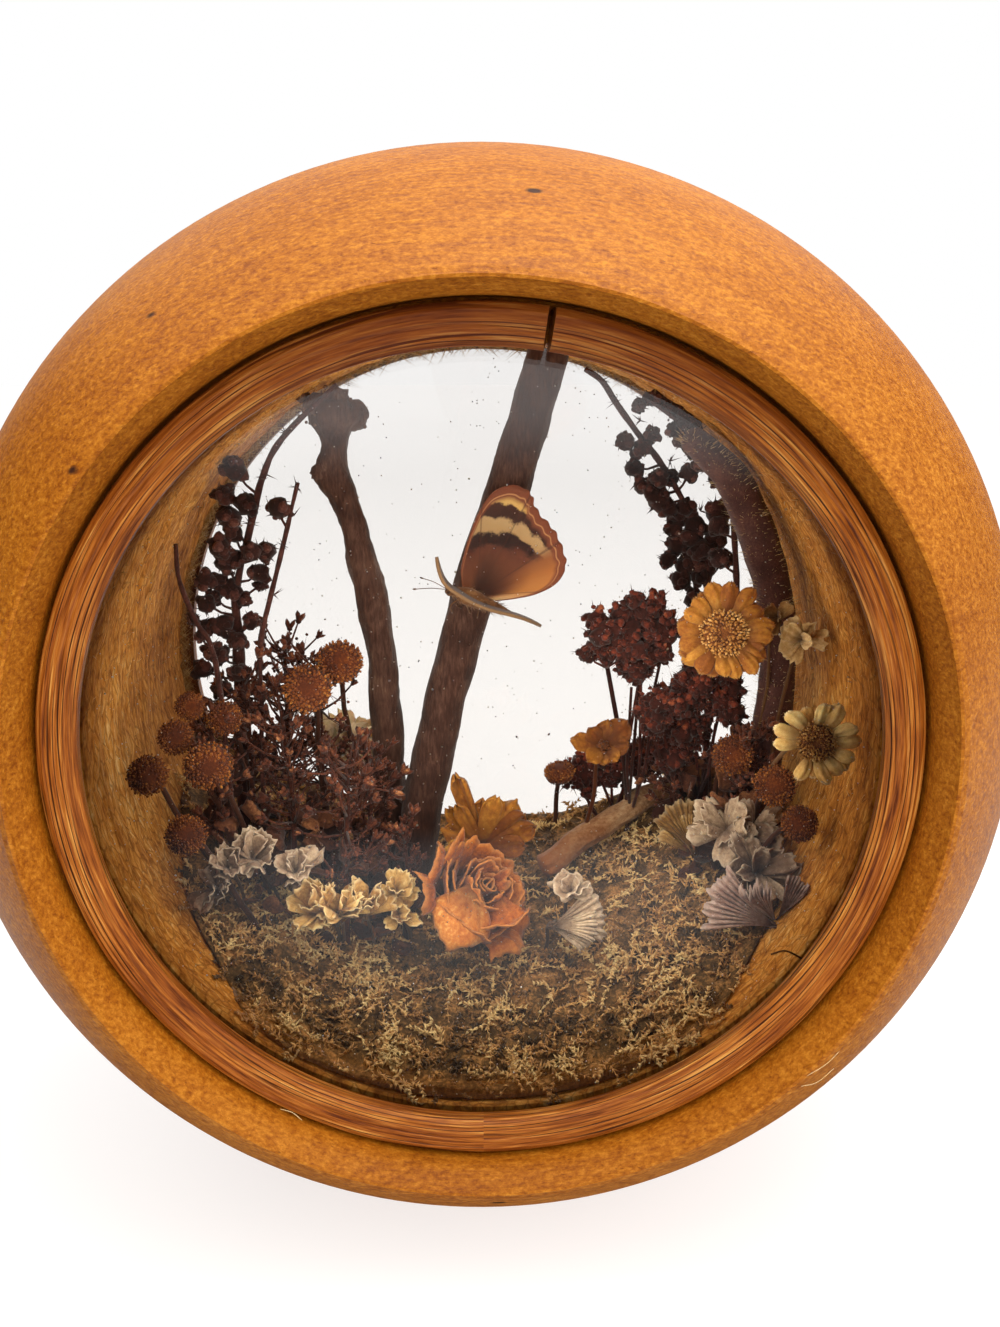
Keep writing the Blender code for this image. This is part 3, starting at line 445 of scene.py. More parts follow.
RATTAN = rattan()
RING_OUTER, RING_INNER, RING_FRONT_Y = 64.5, 58.6, 39.2
GLASS_RADIUS, GLASS_THICKNESS, GLASS_RISE, GLASS_RIM_Y = 64.2, 2.0, 11.7, 34.0
JOINT_AT, JOINT_GAP = math.radians(8.6), math.radians(0.3)
RING_SIDES, RING_FRONT_ROWS = 200, 37


def dome_y(radius):
    """Depth of a glass's outer face at a radius."""
    sphere = (GLASS_RADIUS ** 2 + GLASS_RISE ** 2) / (2 * GLASS_RISE)
    return GLASS_RIM_Y + np.sqrt(sphere ** 2 - np.square(radius)) - (sphere - GLASS_RISE)


def ring_profile():
    """The strip's section, closed: a rounded front with three shallow fibre ridges."""
    seat = [(r, dome_y(r) + 0.35) for r in np.linspace(RING_OUTER - 0.3, RING_INNER + 0.1, 6)]
    inner = [(RING_INNER, dome_y(RING_INNER) + 0.8), (RING_INNER, RING_FRONT_Y - 1.0)]
    front = []
    for share in np.linspace(0.0, 1.0, RING_FRONT_ROWS):
        crown = 0.9 * (2 * share - 1) ** 4
        ridge = 0.13 * abs(math.sin(share * 13.5)) + 0.05 * math.sin(share * 47 + 1)
        radius = RING_INNER + 0.15 + share * (RING_OUTER - RING_INNER - 0.2)
        front.append((radius, RING_FRONT_Y - 0.1 - crown + ridge))
    outer = [(RING_OUTER, RING_FRONT_Y - 1.6), (RING_OUTER, 35.4)]
    return seat + inner + front + outer


def rattan_ring(node, name, side):
    """One strip round the ring; the cut ends lean a little, so the joint opens as a small V."""
    profile = ring_profile()
    turns = JOINT_AT + np.linspace(JOINT_GAP / 2, 2 * math.pi - JOINT_GAP / 2, RING_SIDES)
    places = swept(profile, turns)
    wave = rumple(places.reshape(-1, 3), 11.0, 0.16, side).reshape(places.shape[:2])
    places[..., 1] += wave * (places[..., 1] > RING_FRONT_Y - 2)
    for end, lean in ((0, 1), (1, 1), (-1, -1), (-2, -1)):
        open_more = 0.35 * np.clip((places[end, :, 1] - 36) / 3, 0, 1) * lean
        places[end, :, 0] += open_more * math.cos(JOINT_AT)
        places[end, :, 2] -= open_more * math.sin(JOINT_AT)
    places[..., 1] *= side
    heap = Heap()
    heap.put(places, [grid_faces(RING_SIDES, len(profile), wrap=True)])
    caps = np.arange(len(profile))
    heap.faces += [caps[None, ::-1], caps[None] + (RING_SIDES - 1) * len(profile)]
    made = heap.piece(name, RATTAN, node, "rattan")
    tidy_normals(made, 40)
    return made


def tidy_normals(made, sharp):
    """Point all faces outwards and mark edges sharper than that many degrees."""
    shape = bmesh.new()
    shape.from_mesh(made.data)
    bmesh.ops.recalc_face_normals(shape, faces=shape.faces)
    shape.to_mesh(made.data)
    shape.free()
    made.data.set_sharp_from_angle(angle=math.radians(sharp))


rattan_ring("front_rattan_ring", "front_bent_rattan", -1)
rattan_ring("back_rattan_ring", "back_bent_rattan", 1)

# %% [markdown]
# ## Domed glasses
# Each is a piece of soda-lime glass, 2 mm thick, slumped to a shallow dome. Clear glass is plain
# transmission with an IOR of 1.52. The lathe gives both faces and the ground rim as one closed mesh,
# fine enough that reflections stay smooth.

# %% Soda-lime glass
CLEAR_GLASS = new_finish(
    "clear_soda_lime_glass", Roughness=0.0, IOR=1.52, Transmission_Weight=1.0,
    Base_Color=linear("#fbfaf9"))[0]
GLASS_SIDES, GLASS_ROWS = 160, 17


def glass_dome(node, name, side):
    """One domed glass of even thickness."""
    radii = GLASS_RADIUS * np.sin(np.linspace(0, math.pi / 2, GLASS_ROWS))[1:]
    outer = [(r, dome_y(r)) for r in radii]
    inner = [(r, y - GLASS_THICKNESS) for r, y in reversed(outer)]
    profile = [(r, side * y) for r, y in outer + inner]
    places = swept(profile, np.linspace(0, 2 * math.pi, GLASS_SIDES, endpoint=False))
    columns = len(profile)
    corners = places.transpose(1, 0, 2).reshape(-1, 3)
    faces = grid_faces(columns, GLASS_SIDES, wrap=True)
    heap = Heap()
    apex = [[0, side * dome_y(0.0), AXIS_HEIGHT], [0, side * (dome_y(0.0) - GLASS_THICKNESS), AXIS_HEIGHT]]
    corner = np.arange(GLASS_SIDES)
    after = np.roll(corner, -1)
    top = len(corners)
    base = (columns - 1) * GLASS_SIDES
    fans = [
        np.stack([corner, after, np.full(GLASS_SIDES, top)], -1),
        np.stack([base + after, base + corner, np.full(GLASS_SIDES, top + 1)], -1)]
    heap.put(np.vstack([corners, apex]), [faces] + fans)
    made = heap.piece(name, CLEAR_GLASS, node, "clear_glass")
    tidy_normals(made, 50)
    return made


glass_dome("front_glass_dome", "front_clear_glass", -1)
glass_dome("back_glass_dome", "back_clear_glass", 1)

# %% [markdown]
# ## Shapes that plants are made of
# Looked at closely, the garden is made of four shapes: round stems, thin sheets for petals, slivers
# for hairs and tiny leaves, and lumps for seeds. Each function below makes any number of them at once
# from arrays of places, so that thousands of moss leaves cost no more code than one.

# %% Stems, petals, slivers and lumps
THIRDS_OF_A_TURN = np.array([0.0, 2.094, 4.189])
LUMP_KINDS = 6
ANY_ROLL = 6.28


def unit(rows):
    """Rows of numbers scaled to length 1."""
    return rows / (np.linalg.norm(rows, axis=-1, keepdims=True) + 1e-12)


def frames(ahead, roll=0.0):
    """Turns whose third axis looks along ahead, rolled about it."""
    ahead = unit(np.atleast_2d(np.asarray(ahead, float)))
    helper = np.where(abs(ahead[:, 2:]) > 0.95, (0.0, 1.0, 0.0), (0.0, 0.0, 1.0))
    side = unit(np.cross(helper, ahead))
    up = np.cross(ahead, side)
    roll = np.broadcast_to(roll, len(ahead))[:, None]
    return np.stack(
        [np.cos(roll) * side + np.sin(roll) * up, np.cos(roll) * up - np.sin(roll) * side, ahead], -1)


def tubes(heap, paths, radii, sides=5, tint=0.5, bark=0.0, seed=0.0, along=None):
    """Closed stems along paths of (x, y, z) rows; bark is the height of the ridges on them."""
    paths = np.asarray(paths, float)
    paths = paths[None] if paths.ndim == 2 else paths
    count, knots = paths.shape[:2]
    radii = np.broadcast_to(radii, (count, knots))
    ahead = unit(np.gradient(paths, axis=1))
    helper = np.eye(3)[np.argmin(abs(ahead.mean(1)), 1)]
    one = unit(np.cross(ahead, helper[:, None]))
    two = np.cross(ahead, one)
    angle = 2 * np.pi * np.arange(sides) / sides
    spoke = np.cos(angle)[:, None] * one[:, :, None] + np.sin(angle)[:, None] * two[:, :, None]
    reach = np.repeat(radii[:, :, None], sides, axis=2)
    if bark:
        step = np.linalg.norm(np.diff(paths, axis=1, prepend=paths[:, :1]), axis=2).cumsum(1)
        across = np.stack([2.4 * np.cos(angle), 2.4 * np.sin(angle)], -1)
        place = np.concatenate(
            [
                np.broadcast_to(across, (count, knots, sides, 2)),
                np.broadcast_to(step[:, :, None, None] / 5, (count, knots, sides, 1))],
            -1).reshape(-1, 3)
        ridges = rumple(place, 1.0, bark, seed) + rumple(place * (3, 3, 4), 1.0, 0.45 * bark, seed + 5)
        reach = reach + ridges.reshape(reach.shape)
    rings = paths[:, :, None] + reach[..., None] * spoke
    starts = np.arange(count)[:, None] * knots * sides
    skin = (grid_faces(knots, sides, wrap=True)[None] + starts[:, :, None]).reshape(-1, 4)
    low = starts + np.arange(sides)[::-1]
    high = starts + (knots - 1) * sides + np.arange(sides)
    if along is None:
        along = np.broadcast_to(np.linspace(0, 1, knots)[None, :, None], rings.shape[:3]).ravel()
    heap.put(rings, [skin, low, high], np.repeat(np.broadcast_to(tint, count), knots * sides), along)


def sheets(heap, surfaces, thickness=0.2, tint=0.5):
    """Thin closed bodies from surfaces of shape (count, rows, columns, 3); rows run from root to tip."""
    surfaces = np.asarray(surfaces, float)
    surfaces = surfaces[None] if surfaces.ndim == 3 else surfaces
    count, rows, columns = surfaces.shape[:3]
    normal = unit(np.cross(np.gradient(surfaces, axis=1), np.gradient(surfaces, axis=2)))
    skins = np.stack([surfaces + normal * thickness / 2, surfaces - normal * thickness / 2], 1)
    index = np.arange(rows * columns).reshape(rows, columns)
    size = rows * columns
    over = grid_faces(rows, columns)[:, ::-1]
    under = grid_faces(rows, columns) + size
    rim = np.concatenate([index[0, :-1], index[:-1, -1], index[-1, :0:-1], index[:0:-1, 0]])
    after = np.roll(rim, -1)
    band = np.stack([rim, after, after + size, rim + size], -1)
    faces = np.concatenate([over, under, band])
    starts = np.arange(count)[:, None, None] * 2 * size
    along = np.broadcast_to(np.linspace(0, 1, rows)[:, None], (count, 2, rows, columns)).ravel()
    heap.put(
        skins, [(faces[None] + starts).reshape(-1, 4)], np.repeat(np.broadcast_to(tint, count), 2 * size),
        along)


def slivers(heap, roots, tips, width, tint=0.5):
    """Pointed three-sided hairs or leaves from root to tip."""
    roots, tips = np.reshape(roots, (-1, 3)), np.reshape(tips, (-1, 3))
    count = len(roots)
    turn = frames(tips - roots)
    across, up = np.cos(THIRDS_OF_A_TURN)[:, None], np.sin(THIRDS_OF_A_TURN)[:, None]
    spoke = across * turn[:, None, :, 0] + up * turn[:, None, :, 1]
    base = roots[:, None] + np.reshape(np.broadcast_to(width, count), (-1, 1, 1)) * spoke
    corners = np.concatenate([base, tips[:, None]], 1)
    one = np.array([[0, 2, 1], [0, 1, 3], [1, 2, 3], [2, 0, 3]])
    faces = (one[None] + 4 * np.arange(count)[:, None, None]).reshape(-1, 3)
    heap.put(
        corners, [faces], np.repeat(np.broadcast_to(tint, count), 4), np.tile([0.0, 0.0, 0.0, 1.0], count))


def ball_shape(finer):
    """Corners and faces of a ball of triangles."""
    shape = bmesh.new()
    bmesh.ops.create_icosphere(shape, subdivisions=finer, radius=1.0)
    corners = np.array([vert.co[:] for vert in shape.verts])
    faces = np.array([[vert.index for vert in face.verts] for face in shape.faces])
    shape.free()
    return corners, faces


def lumps(heap, places, sizes, finer=1, rough=0.0, tint=0.5, ahead=None, seed=0):
    """Lumps, each turned its own way; sizes are radii and rough the height of their bumps."""
    places = np.reshape(places, (-1, 3))
    count = len(places)
    corners, faces = ball_shape(finer)
    draw = np.random.default_rng(seed)
    kinds = np.array(
        [
            corners * (1 + rumple(corners, 0.42, rough, 3.1 * kind + seed))[:, None]
            for kind in range(LUMP_KINDS)])
    turn = frames(
        draw.normal(size=(count, 3)) if ahead is None else ahead, draw.uniform(0, ANY_ROLL, count))
    sizes = np.broadcast_to(np.reshape(sizes, (-1, 1)) if np.ndim(sizes) == 1 else sizes, (count, 3))
    local = kinds[np.arange(count) % LUMP_KINDS] * sizes[:, None]
    world = np.einsum("nij,nmj->nmi", turn, local) + places[:, None]
    starts = np.arange(count)[:, None, None] * len(corners)
    heap.put(
        world, [(faces[None] + starts).reshape(-1, 3)],
        np.repeat(np.broadcast_to(tint, count), len(corners)), 0.5)


# %% [markdown]
# ## Dried plant stuff
# Petals, bark, seeds and moss are all dry cell walls: matte, a little fuzzy at grazing angles and
# never one even colour. One recipe serves them all. A ramp of colours is read at a value that mixes
# the shape's own tint with a broad and a fine noise. Root and rim can fade to colours of their own.

# %% Finish of dried plants
SOAK = (1.0, 0.5, 0.2)  # red light soaks furthest through a petal


def dried(
        name, stops, patch=0.35, grain=2.5, roughness=0.8, relief=0.4, root=None, rim=None, glow=0.0,
        stretch=(1, 1, 1)):
    """Dry plant stuff; patch and grain are lumps to the millimetre, glow lets light soak through."""
    soaks = dict(Subsurface_Weight=glow, Subsurface_Radius=SOAK, Subsurface_Scale=0.0012) if glow else {}
    made, shader, add = new_finish(
        name, Roughness=roughness, Sheen_Weight=0.15, Sheen_Roughness=0.5, Specular_IOR_Level=0.3, **soaks)
    broad = add("TexNoise", Vector=in_mm(add), Scale=patch, Detail=2.0)
    fine = add("TexNoise", Vector=in_mm(add, stretch), Scale=grain, Detail=4.0, Roughness=0.65)
    tint = add("Attribute", attribute_name="tint", out="Fac")
    tone = add("Math MULTIPLY_ADD", tint, 0.5, add("Math MULTIPLY", broad, 0.5))
    tone = add("Math MULTIPLY_ADD", fine, 0.7, tone)
    level = add("MapRange", tone, 0.45, 1.25)
    colour = add("ValToRGB", level, stops=stops)
    along = add("Attribute", attribute_name="along", out="Fac")
    for code, start, end, most in ((root, 0.6, 0.0, 0.9), (rim, 0.88, 1.0, 0.4)):
        if code:
            share = add("MapRange", along, start, end, 0.0, most)
            colour = add("Mix RGBA", share, colour, linear(code))
    feed(shader, Base_Color=colour, Normal=add("Bump", Height=fine, Strength=relief, Distance=0.0002))
    return made


# %% [markdown]
# ## Moss bed
# Everything is stuck in a bed of sheet moss, which dried to olive brown with golden tips. The bed
# itself is a lumpy slope, lowest at the front, that climbs the walls of the bore. On it lie some
# thousands of little fronds: a curled stem with leaves like scales, 3 to 8 mm long. They are drawn a
# little thicker than real ones, which at 0.3 mm would be finer than a pixel.

# %% Moss bed
MOSS = dried(
    "dried_sheet_moss",
    [(0.0, "#1f150e"), (0.24, "#5e4526"), (0.46, "#b4824a"), (0.7, "#dcab68"), (1.0, "#fbdf9e")],
    patch=0.25, grain=1.6, roughness=0.9)
MOSS_END_Y, MOSS_RADIUS = 31.0, 59.0
PLANT_RADIUS, PLANT_DEPTH = 59.1, 34.0  # nothing that grows reaches past these
STEM_STEPS, LEAF_PAIRS, LEAF_WIDTH = 6, 7, 0.3
MOSS_LINE = np.array([(-31.0, 29.8), (-12.0, 39.5), (0.0, 43.5), (12.0, 47.0), (31.0, 51.0)])


def moss_height(x, y):
    """Height of the bed: a slope to the back, a climb at the sides and soft lumps."""
    x, y = np.broadcast_arrays(np.asarray(x, float), np.asarray(y, float))
    spots = np.stack([x.ravel(), y.ravel(), np.zeros(x.size)], -1)
    lump = rumple(spots, 9.0, 1.1).reshape(x.shape)
    return np.interp(y, *MOSS_LINE.T) + 10 * (x / 40) ** 2 + lump


def moss_reach(y):
    """How far the bed goes to each side before it meets the bore."""
    reach = np.full(np.shape(y), 50.0)
    for _ in range(8):
        reach = np.sqrt(MOSS_RADIUS ** 2 - (moss_height(reach, y) - AXIS_HEIGHT) ** 2)
    return reach


def moss_cushion(heap):
    """The closed bed under the fronds."""
    across, stations = 90, 62
    y = np.linspace(-MOSS_END_Y, MOSS_END_Y, stations)[:, None]
    reach = moss_reach(y)
    x = reach * np.linspace(-1, 1, across)
    z = moss_height(x, y)
    top = np.stack([x, np.broadcast_to(y, x.shape), z], -1)
    fray = rumple(top.reshape(-1, 3), 2.2, 1.5, 4.0) + rumple(top.reshape(-1, 3), 0.9, 0.7, 8.0) - 0.8
    inside = np.clip((reach - abs(x)) / 3, 0, 1) * np.clip((MOSS_END_Y - abs(y)) / 1.0, 0, 1)
    top[..., 2] += fray.reshape(x.shape) * inside
    swing = np.arctan2(reach, AXIS_HEIGHT - moss_height(reach, y))
    angle = swing * np.linspace(1, -1, 42)[1:-1]
    under = np.stack(
        [
            MOSS_RADIUS * np.sin(angle), np.broadcast_to(y, angle.shape),
            AXIS_HEIGHT - MOSS_RADIUS * np.cos(angle)],
        -1)
    rings = np.concatenate([top, under], 1)
    count = rings.shape[1]
    ends = np.arange(count)
    heap.put(
        rings,
        [grid_faces(stations, count, wrap=True), ends[None, ::-1], ends[None] + (stations - 1) * count],
        0.12)


def moss_fronds(heap, count, near, far, seed):
    """Curled fronds with scale leaves, between two depths."""
    draw = np.random.default_rng(seed)
    y = draw.uniform(near, far, count)
    reach = moss_reach(y) - 0.8
    x = draw.uniform(-1, 1, count) * reach
    root = np.stack([x, y, moss_height(x, y) - 0.6], -1)
    slope = np.stack(
        [
            moss_height(x + 0.5, y) - moss_height(x - 0.5, y),
            moss_height(x, np.clip(y + 0.5, -MOSS_END_Y, MOSS_END_Y))
            - moss_height(x, np.clip(y - 0.5, -MOSS_END_Y, MOSS_END_Y)),
            -np.ones(count)],
        -1)
    up = -unit(slope)
    heading = draw.normal(size=(count, 3))
    heading[:, 2] *= 0.3
    heading = unit(
        unit(heading - up * (heading * up).sum(1, keepdims=True)) + up * draw.uniform(0.2, 0.75, (count, 1)))
    length = draw.uniform(2.6, 6.4, count)[:, None]
    side = np.cross(up, heading)
    curl = draw.uniform(-1.6, 1.6, count)[:, None]
    steps = np.linspace(0, 1, STEM_STEPS)
    path = np.stack(
        [
            root + length * (
                heading * t + side * curl * 0.5 * t ** 2 - up * (0.25 + abs(curl) * 0.25) * t ** 2)
            for t in steps],
        1)
    path += draw.normal(size=path.shape) * 0.16
    path = inside_bore(path)
    clump = rumple(root, 6.0, 1.1, 2.0) + rumple(root, 2.0, 0.5, 6.0)
    path = path + (clump * 1.3 * up.T).T[:, None]
    # Partly the moss's own golden tone, partly painted light and shade: raised clumps are tinted golden and
    # the hollows between them dark.
    tint = np.clip(0.46 + 1.5 * clump + draw.normal(size=count) * 0.14, 0, 1)
    path = inside_bore(path)
    tubes(heap, path, np.linspace(0.12, 0.07, STEM_STEPS), sides=3, tint=tint)
    for share in np.linspace(0.12, 1.0, LEAF_PAIRS):
        spot = share * (STEM_STEPS - 1)
        low = min(int(spot), STEM_STEPS - 2)
        at = path[:, low] * (1 - spot + low) + path[:, low + 1] * (spot - low)
        forward = unit(path[:, low + 1] - path[:, low])
        out = unit(np.cross(forward, draw.normal(size=(count, 3))))
        for side_share in (1.0, -1.0):
            size = draw.uniform(0.65, 1.25, (count, 1)) * (1.15 - 0.45 * share)
            ahead = out * side_share * 0.85 + forward * 0.6 + draw.normal(size=(count, 3)) * 0.2
            slivers(heap, at, inside_bore(at + ahead * size), LEAF_WIDTH, tint + 0.14 * share)


def inside_bore(points, limit=PLANT_RADIUS, depth=PLANT_DEPTH):
    """Points pulled back so that none goes into the wood or the glass."""
    off = points - (0, 0, AXIS_HEIGHT)
    radius = np.hypot(off[..., 0], off[..., 2])
    pull = np.minimum(1, limit / radius)[..., None]
    off = off * np.concatenate([pull, np.ones_like(pull), pull], -1)
    off[..., 1] = np.clip(off[..., 1], -depth, depth)
    return off + (0, 0, AXIS_HEIGHT)


bed = Heap()
moss_cushion(bed)
moss_fronds(bed, 850, -1.0, MOSS_END_Y, 3)
bed.piece("moss_bed_and_back_fronds", MOSS, "moss_bed", "moss")
front = Heap()
moss_fronds(front, 1250, -MOSS_END_Y, -1.0, 4)
front.piece("moss_front_fronds", MOSS, None, "moss")

# %% [markdown]
# ## Twigs
# Four real twigs give the garden its height. Their bark has shrunk to long shallow ridges. The left
# one ends in a knuckle where side shoots broke off. The low one is grey, with a painted highlight:
# its left end is coloured orange-brown where the light falls on it. The one at the right wall is a
# young shoot with a coat of pale hairs. Each is a line of points with a radius, smoothed, with relief
# along it.

# %% Bark
RED_BARK = dried(
    "red_brown_twig_bark", [(0.0, "#190c08"), (0.36, "#3a2016"), (0.62, "#573a2d"), (1.0, "#9a8069")],
    patch=0.22, grain=2.4, roughness=0.75, relief=0.9, stretch=(1, 1, 0.2))
KNOBBED_TWIG = (
    (-17.2, 12, 42, 3.2), (-17.8, 12, 66, 3.1), (-18.2, 12, 80, 2.9), (-18.8, 12, 92, 2.6),
    (-20.2, 12, 101, 2.9), (-22.6, 12, 112, 2.3), (-24.8, 12, 119, 2.45), (-26.2, 12, 122.6, 3.0),
    (-26.0, 12, 128, 2.2), (-26.2, 12, 132.6, 4.1), (-26.4, 12, 136.0, 3.4))
CENTRE_TWIG = (
    (-14.6, 6, 42, 3.8), (-11.8, 6, 60, 3.7), (-9.3, 6, 72, 3.8), (-5.8, 6, 87, 3.6), (-1.2, 6, 104, 3.8),
    (4.6, 6, 122, 3.7), (7.4, 6, 131, 3.6), (10.8, 6, 142.4, 3.55), (11.4, 6, 144.6, 3.5))
LOW_BRANCH = (
    (10.6, 10, 48.8, 2.3), (15.0, 12, 51.0, 2.35), (20.8, 14, 54.4, 2.2), (31.0, 19, 59.0, 2.2),
    (40.2, 23, 62.0, 2.3), (47.4, 26, 63.6, 2.2))
FUZZY_STEM = (
    (47.6, 4, 54, 3.0), (50.4, 4, 70, 3.1), (52.0, 4, 84, 3.2), (52.0, 4, 94, 3.2), (50.6, 4, 103, 3.2),
    (47.6, 2, 111.4, 3.2), (44.6, 0, 117.7, 3.1), (40.8, -2, 123.8, 2.9), (36.4, -4, 128.2, 2.4),
    (33.2, -5, 130.6, 1.9))

KNUCKLES = np.array(
    [
        (-28.8, 11.6, 134.4, 2.3), (-22.6, 12.2, 132.8, 2.6), (-28.2, 11.0, 123.0, 1.9),
        (-19.4, 11.0, 99.4, 1.4), (-31.4, 11.6, 136.6, 1.5), (-25.2, 11.4, 135.4, 2.2)])
SCAR_GRAINS, HAIRS = 70, 1500


def branch(heap, rows, bark, seed, sides=26, steps=9, tint=0.5):
    """One twig along (x, y, z, radius) rows, with a rounded end at both sides."""
    line = smooth_line(rows, steps)
    line[:, :3] += wobble(line[:, :3], 7.0, 0.35, seed, 3)
    ends = np.concatenate([[0.35, 0.8], np.ones(len(line) - 4), [0.85, 0.45]])
    tubes(heap, line[:, :3], line[:, 3] * ends, sides, tint, bark, seed)
    return line


twig = Heap()
branch(twig, KNOBBED_TWIG, 0.42, 1.0, sides=28, steps=9)
lumps(twig, KNUCKLES[:, :3], KNUCKLES[:, 3], finer=3, rough=0.4, tint=0.6)
draw = np.random.default_rng(5)
spots = np.array([-25.6, 12, 133.4]) + draw.normal(size=(SCAR_GRAINS, 3)) * (2.6, 1.6, 1.6)
lumps(twig, spots, draw.uniform(0.2, 0.5, SCAR_GRAINS), tint=0.8)
twig.piece("knobbed_twig", RED_BARK, "left_knobbed_twig", "twig_bark")

twig = Heap()
branch(twig, CENTRE_TWIG, 0.24, 2.0, sides=34, steps=14, tint=0.35)
twig.piece("butterfly_twig", RED_BARK, "centre_twig", "twig_bark")

# %% Low branch and hairy stem
# Painted highlight: the root colour turns the left end of the low branch orange-brown, where light falls on
# it.
GREY_BARK_PAINTED_LIT_END = dried(
    "grey_twig_bark_painted_lit_end", [(0.0, "#2a1a10"), (0.35, "#7a5233"), (0.6, "#a98864"), (1.0, "#d9c3a0")],
    patch=0.16, grain=2.2, roughness=0.8, relief=0.9, root="#9a5a2a", stretch=(0.5, 0.8, 0.6))
twig = Heap()
branch(twig, LOW_BRANCH, 0.5, 3.0, sides=30, steps=14)
twig.piece("low_grey_branch", GREY_BARK_PAINTED_LIT_END, "right_low_branch", "grey_bark")

HAIRY_BARK = dried(
    "hairy_young_bark", [(0.0, "#1d1010"), (0.5, "#4a2b26"), (1.0, "#7a5142")], patch=0.3, grain=2.6,
    relief=0.6)
PALE_HAIR = dried("pale_plant_hair", [(0.0, "#8a6233"), (0.5, "#c7a468"), (1.0, "#ecd9ae")], grain=0.6)
twig = Heap()
line = branch(twig, FUZZY_STEM, 0.3, 4.0)
twig.piece("hairy_stem", HAIRY_BARK, "right_fuzzy_stem", "twig_bark")
draw = np.random.default_rng(6)
pick = draw.integers(2, len(line) - 2, HAIRS)
out = unit(draw.normal(size=(HAIRS, 3)) * (1, 1, 0.25))
foot = line[pick, :3] + out * line[pick, 3:] * 0.95
hair = Heap()
tips = foot + (out + (0, 0, 0.35)) * draw.uniform(0.8, 2.2, (HAIRS, 1))
slivers(hair, foot, tips, 0.06, draw.uniform(0.2, 0.9, HAIRS))
hair.piece("hairs_of_hairy_stem", PALE_HAIR, None, "twig_bark")

# %% [markdown]
# ## Sprays of seed capsules
# Tall stalks at both walls carry dark, frilly seed capsules. Each capsule is a bumpy lump with a few
# pointed sepals, on a thread of a stalk that leaves the stem a little lower. Starry tufts show where
# other capsules fell off.

# %% Seed sprays
DARK_SEED = dried(
    "dry_seed_capsule", [(0.0, "#110706"), (0.4, "#2e140f"), (0.7, "#512a22"), (1.0, "#865c4e")], patch=0.5,
    grain=3.0, relief=0.6)
LEFT_STEM = (
    (-44.6, 8, 52, 1.7), (-44.0, 8, 82, 1.7), (-43.5, 7, 94, 1.4), (-43.2, 6, 103, 1.0),
    (-39.5, 5, 116, 0.9), (-37.3, 4, 123, 0.8), (-33.6, 3, 129.4, 0.75), (-24.2, 3, 138.4, 0.6))
LEFT_CAPSULES = (
    (-42.1, 4.2, 124.2, 2.0), (-44.2, 5.1, 119.9, 1.7), (-40.4, 4.6, 118.2, 1.9), (-43.6, 5.3, 115.9, 2.1),
    (-42.9, 5.4, 113.1, 1.6), (-45.2, 3.7, 111.1, 1.9), (-39.7, 3.5, 110.2, 1.7), (-37.6, 6.0, 110.0, 1.7),
    (-38.6, 4.3, 106.4, 1.7), (-44.9, 6.5, 108.0, 2.0), (-48.2, 4.9, 105.1, 1.6), (-46.1, 6.0, 104.4, 1.6),
    (-48.3, 4.9, 100.8, 1.6), (-41.7, 5.4, 101.4, 1.2), (-40.6, 4.0, 97.8, 1.4), (-45.6, 5.4, 97.1, 1.8),
    (-49.0, 6.1, 96.4, 1.6), (-50.8, 5.1, 98.1, 1.1), (-47.2, 5.7, 101.9, 1.4), (-49.8, 5.5, 88.9, 1.6),
    (-47.6, 3.7, 92.8, 1.6), (-42.8, 5.8, 108.5, 1.6), (-44.1, 5.3, 103.3, 1.6), (-42.9, 4.4, 94.4, 1.6),
    (-46.1, 3.6, 91.9, 1.6), (-38.9, 6.1, 104.0, 1.1), (-43.0, 3.0, 89.0, 1.6), (-46.0, 3.0, 86.0, 1.6))
RIGHT_STEM = (
    (42.6, 18, 54, 1.0), (42.6, 18, 86, 1.0), (41.6, 18, 103, 1.0), (39.6, 18, 111.4, 0.9),
    (36.0, 18, 118.2, 0.9), (32.0, 19, 124.5, 0.85), (27.9, 19, 129.5, 0.8), (23.9, 19, 134.9, 0.8),
    (21.3, 19, 138.6, 0.75), (18.4, 20, 140.6, 0.7))
RIGHT_CAPSULES = (
    (25.7, 17.2, 127.9, 1.6), (30.5, 18.1, 129.2, 1.4), (28.5, 17.6, 126.6, 1.5), (27.4, 18.3, 123.1, 1.6),
    (29.0, 18.4, 120.0, 1.5), (30.4, 16.7, 119.1, 1.5), (31.8, 16.5, 121.5, 1.8), (34.2, 19.0, 121.4, 1.7),
    (32.0, 17.3, 117.4, 2.2), (33.9, 17.2, 115.8, 1.6), (36.1, 19.5, 113.8, 1.9), (36.9, 17.9, 116.0, 1.7),
    (35.9, 19.0, 109.2, 2.0), (38.2, 17.9, 110.5, 2.0), (38.1, 18.4, 105.6, 2.2), (40.0, 17.0, 108.4, 2.0),
    (43.0, 18.4, 114.9, 2.2), (42.9, 19.1, 109.6, 2.2), (38.9, 18.1, 112.7, 2.0), (42.1, 18.7, 106.4, 1.5),
    (37.2, 16.7, 122.5, 1.6), (40.5, 18.8, 103.4, 2.1), (36.7, 18.3, 102.6, 1.9), (34.0, 17.4, 106.5, 1.5),
    (44.6, 19.1, 106.2, 1.7), (35.1, 17.9, 112.0, 1.7), (39.0, 17.0, 99.0, 1.8), (42.0, 17.4, 98.0, 1.8))

LOBES, SEPALS, TUFT_RAYS = 9, 10, 8


